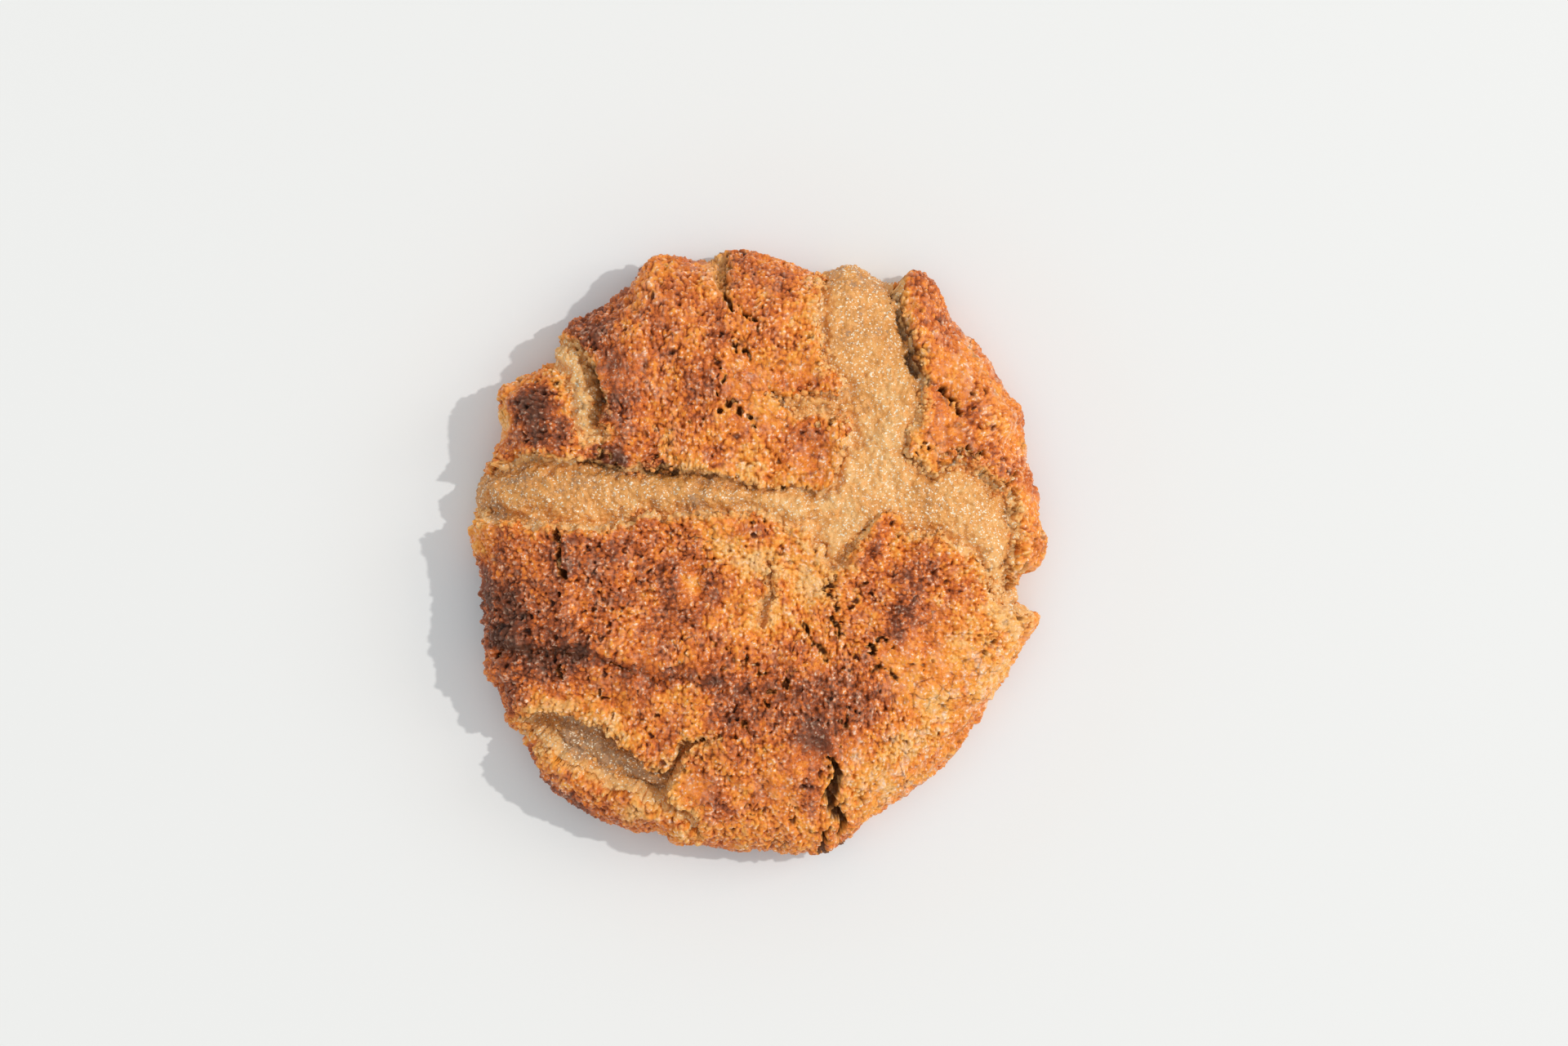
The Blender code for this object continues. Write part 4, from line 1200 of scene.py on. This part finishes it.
class COOKIE_OT_dough(bpy.types.Operator):
    """Make the crumb and dough under the crust"""

    bl_idname = "cookie.dough"
    bl_label = "Dough"

    def execute(self, context):
        form = context.scene.cookie_form
        sheet, side = grid_sheet(form.skin_steps)
        skin = cookie_skin(side, form.grain_height / MM)
        place = sheet.verts.layers.int["place"]
        for vert in sheet.verts:
            vert.co = skin.core[vert[place]] * MM
        rim = [edge for edge in sheet.edges if edge.is_boundary]
        thin_out(sheet, [
            vert for vert in sheet.verts
            if skin.outside[vert[place]] > DOUGH_HIDDEN and not vert.is_boundary
        ])
        # The foot is drawn in to a point over the base, as three rings.
        for share, height in ((0.9, 0.6), (0.5, 1.2), (0.0, 1.2)):
            grown = bmesh.ops.extrude_edge_only(sheet, edges=rim)["geom"]
            rim = [part for part in grown if isinstance(part, bmesh.types.BMEdge)]
            ring = [part for part in grown if isinstance(part, bmesh.types.BMVert)]
            for vert in ring:
                spot = skin.core[vert[place]]
                vert.co = Vector((spot[0] * share, spot[1] * share, height)) * MM
        bmesh.ops.remove_doubles(sheet, verts=ring, dist=0.02 * MM)
        bmesh.ops.recalc_face_normals(sheet, faces=sheet.faces)
        finished("dough", sheet, dough_material(), DOUGH_TRIANGLES, skin.dough_values)
        return {"FINISHED"}


def plate_regions(x, y):
    """Which places belong to each plate of crust."""
    north = y > np.interp(x, *np.array(SEAM_NORTH).T)
    east = x > 17.5 + 0.05 * y
    west_of = [x < np.interp(y, *np.array(seam).T) for seam in (SEAM_SOUTH_WEST, SEAM_SOUTH_EAST)]
    return {
        "crust_north_west": north & ~east,
        "crust_north_east": north & east,
        "crust_south_west": ~north & west_of[0],
        "crust_south": ~north & ~west_of[0] & west_of[1],
        "crust_south_east": ~north & ~west_of[1],
    }


class COOKIE_OT_crust(bpy.types.Operator):
    """Make the browned plates of the crust"""

    bl_idname = "cookie.crust"
    bl_label = "Crust"

    def execute(self, context):
        form = context.scene.cookie_form
        whole, side = grid_sheet(form.skin_steps)
        skin = cookie_skin(side, form.grain_height / MM)
        crust = skin.outside > CRUST_END
        for name, region in plate_regions(skin.points[:, 0], skin.points[:, 1]).items():
            sheet = whole.copy()
            keep_faces(sheet, crust, region)
            closed_plate(sheet, skin.crust, skin.lining)
            finished(name, sheet, crust_material(), None, skin.crust_values)
        whole.free()
        return {"FINISHED"}


class COOKIE_OT_crumbs(bpy.types.Operator):
    """Strew broken crumbs along the edges of the plates"""

    bl_idname = "cookie.crumbs"
    bl_label = "Crumbs"

    def execute(self, context):
        form = context.scene.cookie_form
        skin = cookie_skin(form.skin_steps + 1, form.grain_height / MM)
        sheet = bmesh.new()
        sheet.verts.layers.int.new("place")
        number = sheet.verts.layers.int.new("number")
        bmesh.ops.create_uvsphere(sheet, u_segments=6, v_segments=5, radius=1.0)
        for n in range(form.crumb_doublings):
            made = bmesh.ops.duplicate(sheet, geom=sheet.verts[:] + sheet.edges[:] + sheet.faces[:])
            for part in made["geom"]:
                if isinstance(part, bmesh.types.BMVert):
                    part[number] += 2**n
        count = 2**form.crumb_doublings
        numbers = np.array([vert[number] for vert in sheet.verts])
        ball = np.array([vert.co[:] for vert in sheet.verts])
        sheet.verts.layers.int.remove(number)
        place = sheet.verts.layers.int["place"]

        random = np.random.default_rng(401)
        likely = np.exp(-((skin.outside + 0.1) / 1.2) ** 2) * smooth_step(3.0, 6.0, skin.points[:, 2])
        likely *= smooth_step(0.0, 0.6, lattice_noise(skin.points, 2.2, 403)) + 0.02
        spots = random.choice(len(likely), count, p=likely / likely.sum())
        size = LEAST_CRUMB + CRUMB_GROWTH * random.uniform(0.0, 1.0, count) ** 3
        base = np.where(skin.outside[spots, None] > -0.1, skin.crust[spots], skin.core[spots])
        centre = base + skin.normals[spots] * (size * random.uniform(-0.5, 0.3, count))[:, None]
        turns, _ = np.linalg.qr(random.normal(size=(count, 3, 3)))
        turns[:, 0] *= np.linalg.det(turns)[:, None]
        shape = ball * random.uniform(0.65, 1.25, (count, 3))[numbers]
        shape += random.uniform(-0.32, 0.32, ball.shape)
        spread = centre[numbers] + size[numbers, None] * np.einsum("ni,nij->nj", shape, turns[numbers])
        for vert, spot, co in zip(sheet.verts, spots[numbers], kept_inside(spread)):
            vert[place] = int(spot)
            vert.co = co * MM
        paler = skin.crust_values["browning"] - 0.08
        finished("crumbs", sheet, crumb_material(), None, {"browning": paler})
        return {"FINISHED"}


class COOKIE_OT_underside(bpy.types.Operator):
    """Make the flat browned base"""

    bl_idname = "cookie.underside"
    bl_label = "Underside"

    def execute(self, context):
        form = context.scene.cookie_form
        sheet, side = grid_sheet(BASE_STEPS)
        disc = unrolled(side)
        bearing = np.arctan2(disc[:, 1], disc[:, 0])
        away = np.hypot(*disc.T)
        rim = edge_radius(bearing) * (MEAN_RADIUS - FOOT_INSET - BASE_INSET) / MEAN_RADIUS
        place_of = np.stack([rim * disc[:, 0], rim * disc[:, 1]], axis=1)
        dents = 0.16 * np.maximum(lattice_noise(place_of, 2.6, 301) - 0.25, 0.0)
        dents += 0.12 * np.maximum(lattice_noise(place_of, 7.0, 302), 0.0)
        rise = 0.5 * smooth_step(0.975, 1.0, away)
        low = np.column_stack([place_of, BOX_MARGIN + dents * smooth_step(1.0, 0.97, away) + rise])
        high = np.column_stack([place_of * 0.985, np.full(len(rim), form.underside_thickness / MM)])
        closed_plate(sheet, low, high)
        finished("underside", sheet, underside_material(), BASE_TRIANGLES)
        return {"FINISHED"}


def aim(lamp, direction):
    """Turns a lamp to shine this way."""
    lamp.rotation_mode = "QUATERNION"
    lamp.rotation_quaternion = Vector(direction).to_track_quat("-Z", "Y")


class COOKIE_OT_stage(bpy.types.Operator):
    """Make the floor, the lights and the camera"""

    bl_idname = "cookie.stage"
    bl_label = "Stage"

    def execute(self, context):
        stage = context.scene.cookie_stage
        floor = bmesh.new()
        bmesh.ops.create_grid(floor, x_segments=1, y_segments=1, size=FLOOR_REACH)
        mesh = bpy.data.meshes.new("floor")
        floor.to_mesh(mesh)
        floor.free()
        material, tree, shader = principled("pale_floor")
        # Near the cookie the floor is painted a cooler tint that cancels the warm light bounced from it
        settings = {"operation": "LENGTH"}
        away = make(tree, "ShaderNodeVectorMath", settings, Vector=place_on_object(tree)).outputs["Value"]
        settings = {"interpolation_type": "SMOOTHSTEP"}
        start, end = BOUNCE_TINT_REACH
        near = make(tree, "ShaderNodeMapRange", settings, Value=away, i1=start, i2=end).outputs[0]
        bounce_tinted = mix(tree, near, tuple(stage.bounce_tint_floor_colour), tuple(stage.floor_colour))
        join(tree, bounce_tinted, shader.inputs["Base Color"])
        shader.inputs["Roughness"].default_value = 0.9
        shader.inputs["Specular IOR Level"].default_value = 0.1
        mesh.materials.append(material)
        ground = added("floor", mesh)

        key = bpy.data.lights.new("key", "SUN")
        key.energy = stage.key_strength
        key.angle = math.radians(KEY_ANGLE)
        key.color = KEY_COLOUR
        aim(added("key", key), KEY_DIRECTION)

        box = bpy.data.lights.new("soft_box", "AREA")
        box.shape = "SQUARE"
        box.size = SOFT_BOX_SIZE
        box.energy = stage.box_power
        panel = added("soft_box", box)
        panel.location = SOFT_BOX_PLACE
        aim(panel, -panel.location)

        world = bpy.data.worlds.new("soft_studio")
        context.scene.world = world
        world.use_nodes = True
        sky = world.node_tree.nodes["Background"]
        sky.inputs["Color"].default_value = (*FILL_COLOUR, 1.0)
        sky.inputs["Strength"].default_value = stage.fill_strength

        lens = bpy.data.cameras.new("camera")
        lens.sensor_width = 36.0
        lens.lens = lens.sensor_width * (stage.camera_height - VIEW_LEVEL) / stage.view_width
        lens.clip_start, lens.clip_end = 0.01, 10.0
        camera = added("camera", lens)
        camera.location = (*VIEW_CENTRE, stage.camera_height)
        context.scene.camera = camera
        context.scene.view_settings.view_transform = "Standard"
        return {"FINISHED"}


class COOKIE_PT_panel(bpy.types.Panel):
    bl_label = "Cookie"
    bl_idname = "COOKIE_PT_panel"
    bl_space_type = "VIEW_3D"
    bl_region_type = "UI"
    bl_category = "Cookie"

    def draw(self, context):
        for maker in MAKERS:
            self.layout.operator(maker.bl_idname)
        for group in (context.scene.cookie_form, context.scene.cookie_looks, context.scene.cookie_stage):
            box = self.layout.box()
            for key in group.__annotations__:
                box.prop(group, key)


GROUPS = {"cookie_form": CookieForm, "cookie_looks": CookieLooks, "cookie_stage": CookieStage}
MAKERS = (COOKIE_OT_dough, COOKIE_OT_crust, COOKIE_OT_crumbs, COOKIE_OT_underside, COOKIE_OT_stage)
CLASSES = (*GROUPS.values(), *MAKERS, COOKIE_PT_panel)


def register():
    for kind in CLASSES:
        bpy.utils.register_class(kind)
    for name, kind in GROUPS.items():
        setattr(bpy.types.Scene, name, bpy.props.PointerProperty(type=kind))


def unregister():
    for name in GROUPS:
        delattr(bpy.types.Scene, name)
    for kind in reversed(CLASSES):
        bpy.utils.unregister_class(kind)


def main():
    register()
    bpy.ops.cookie.dough()
    bpy.ops.cookie.crust()
    bpy.ops.cookie.crumbs()
    bpy.ops.cookie.underside()
    bpy.ops.cookie.stage()


if __name__ == "__main__":
    main()
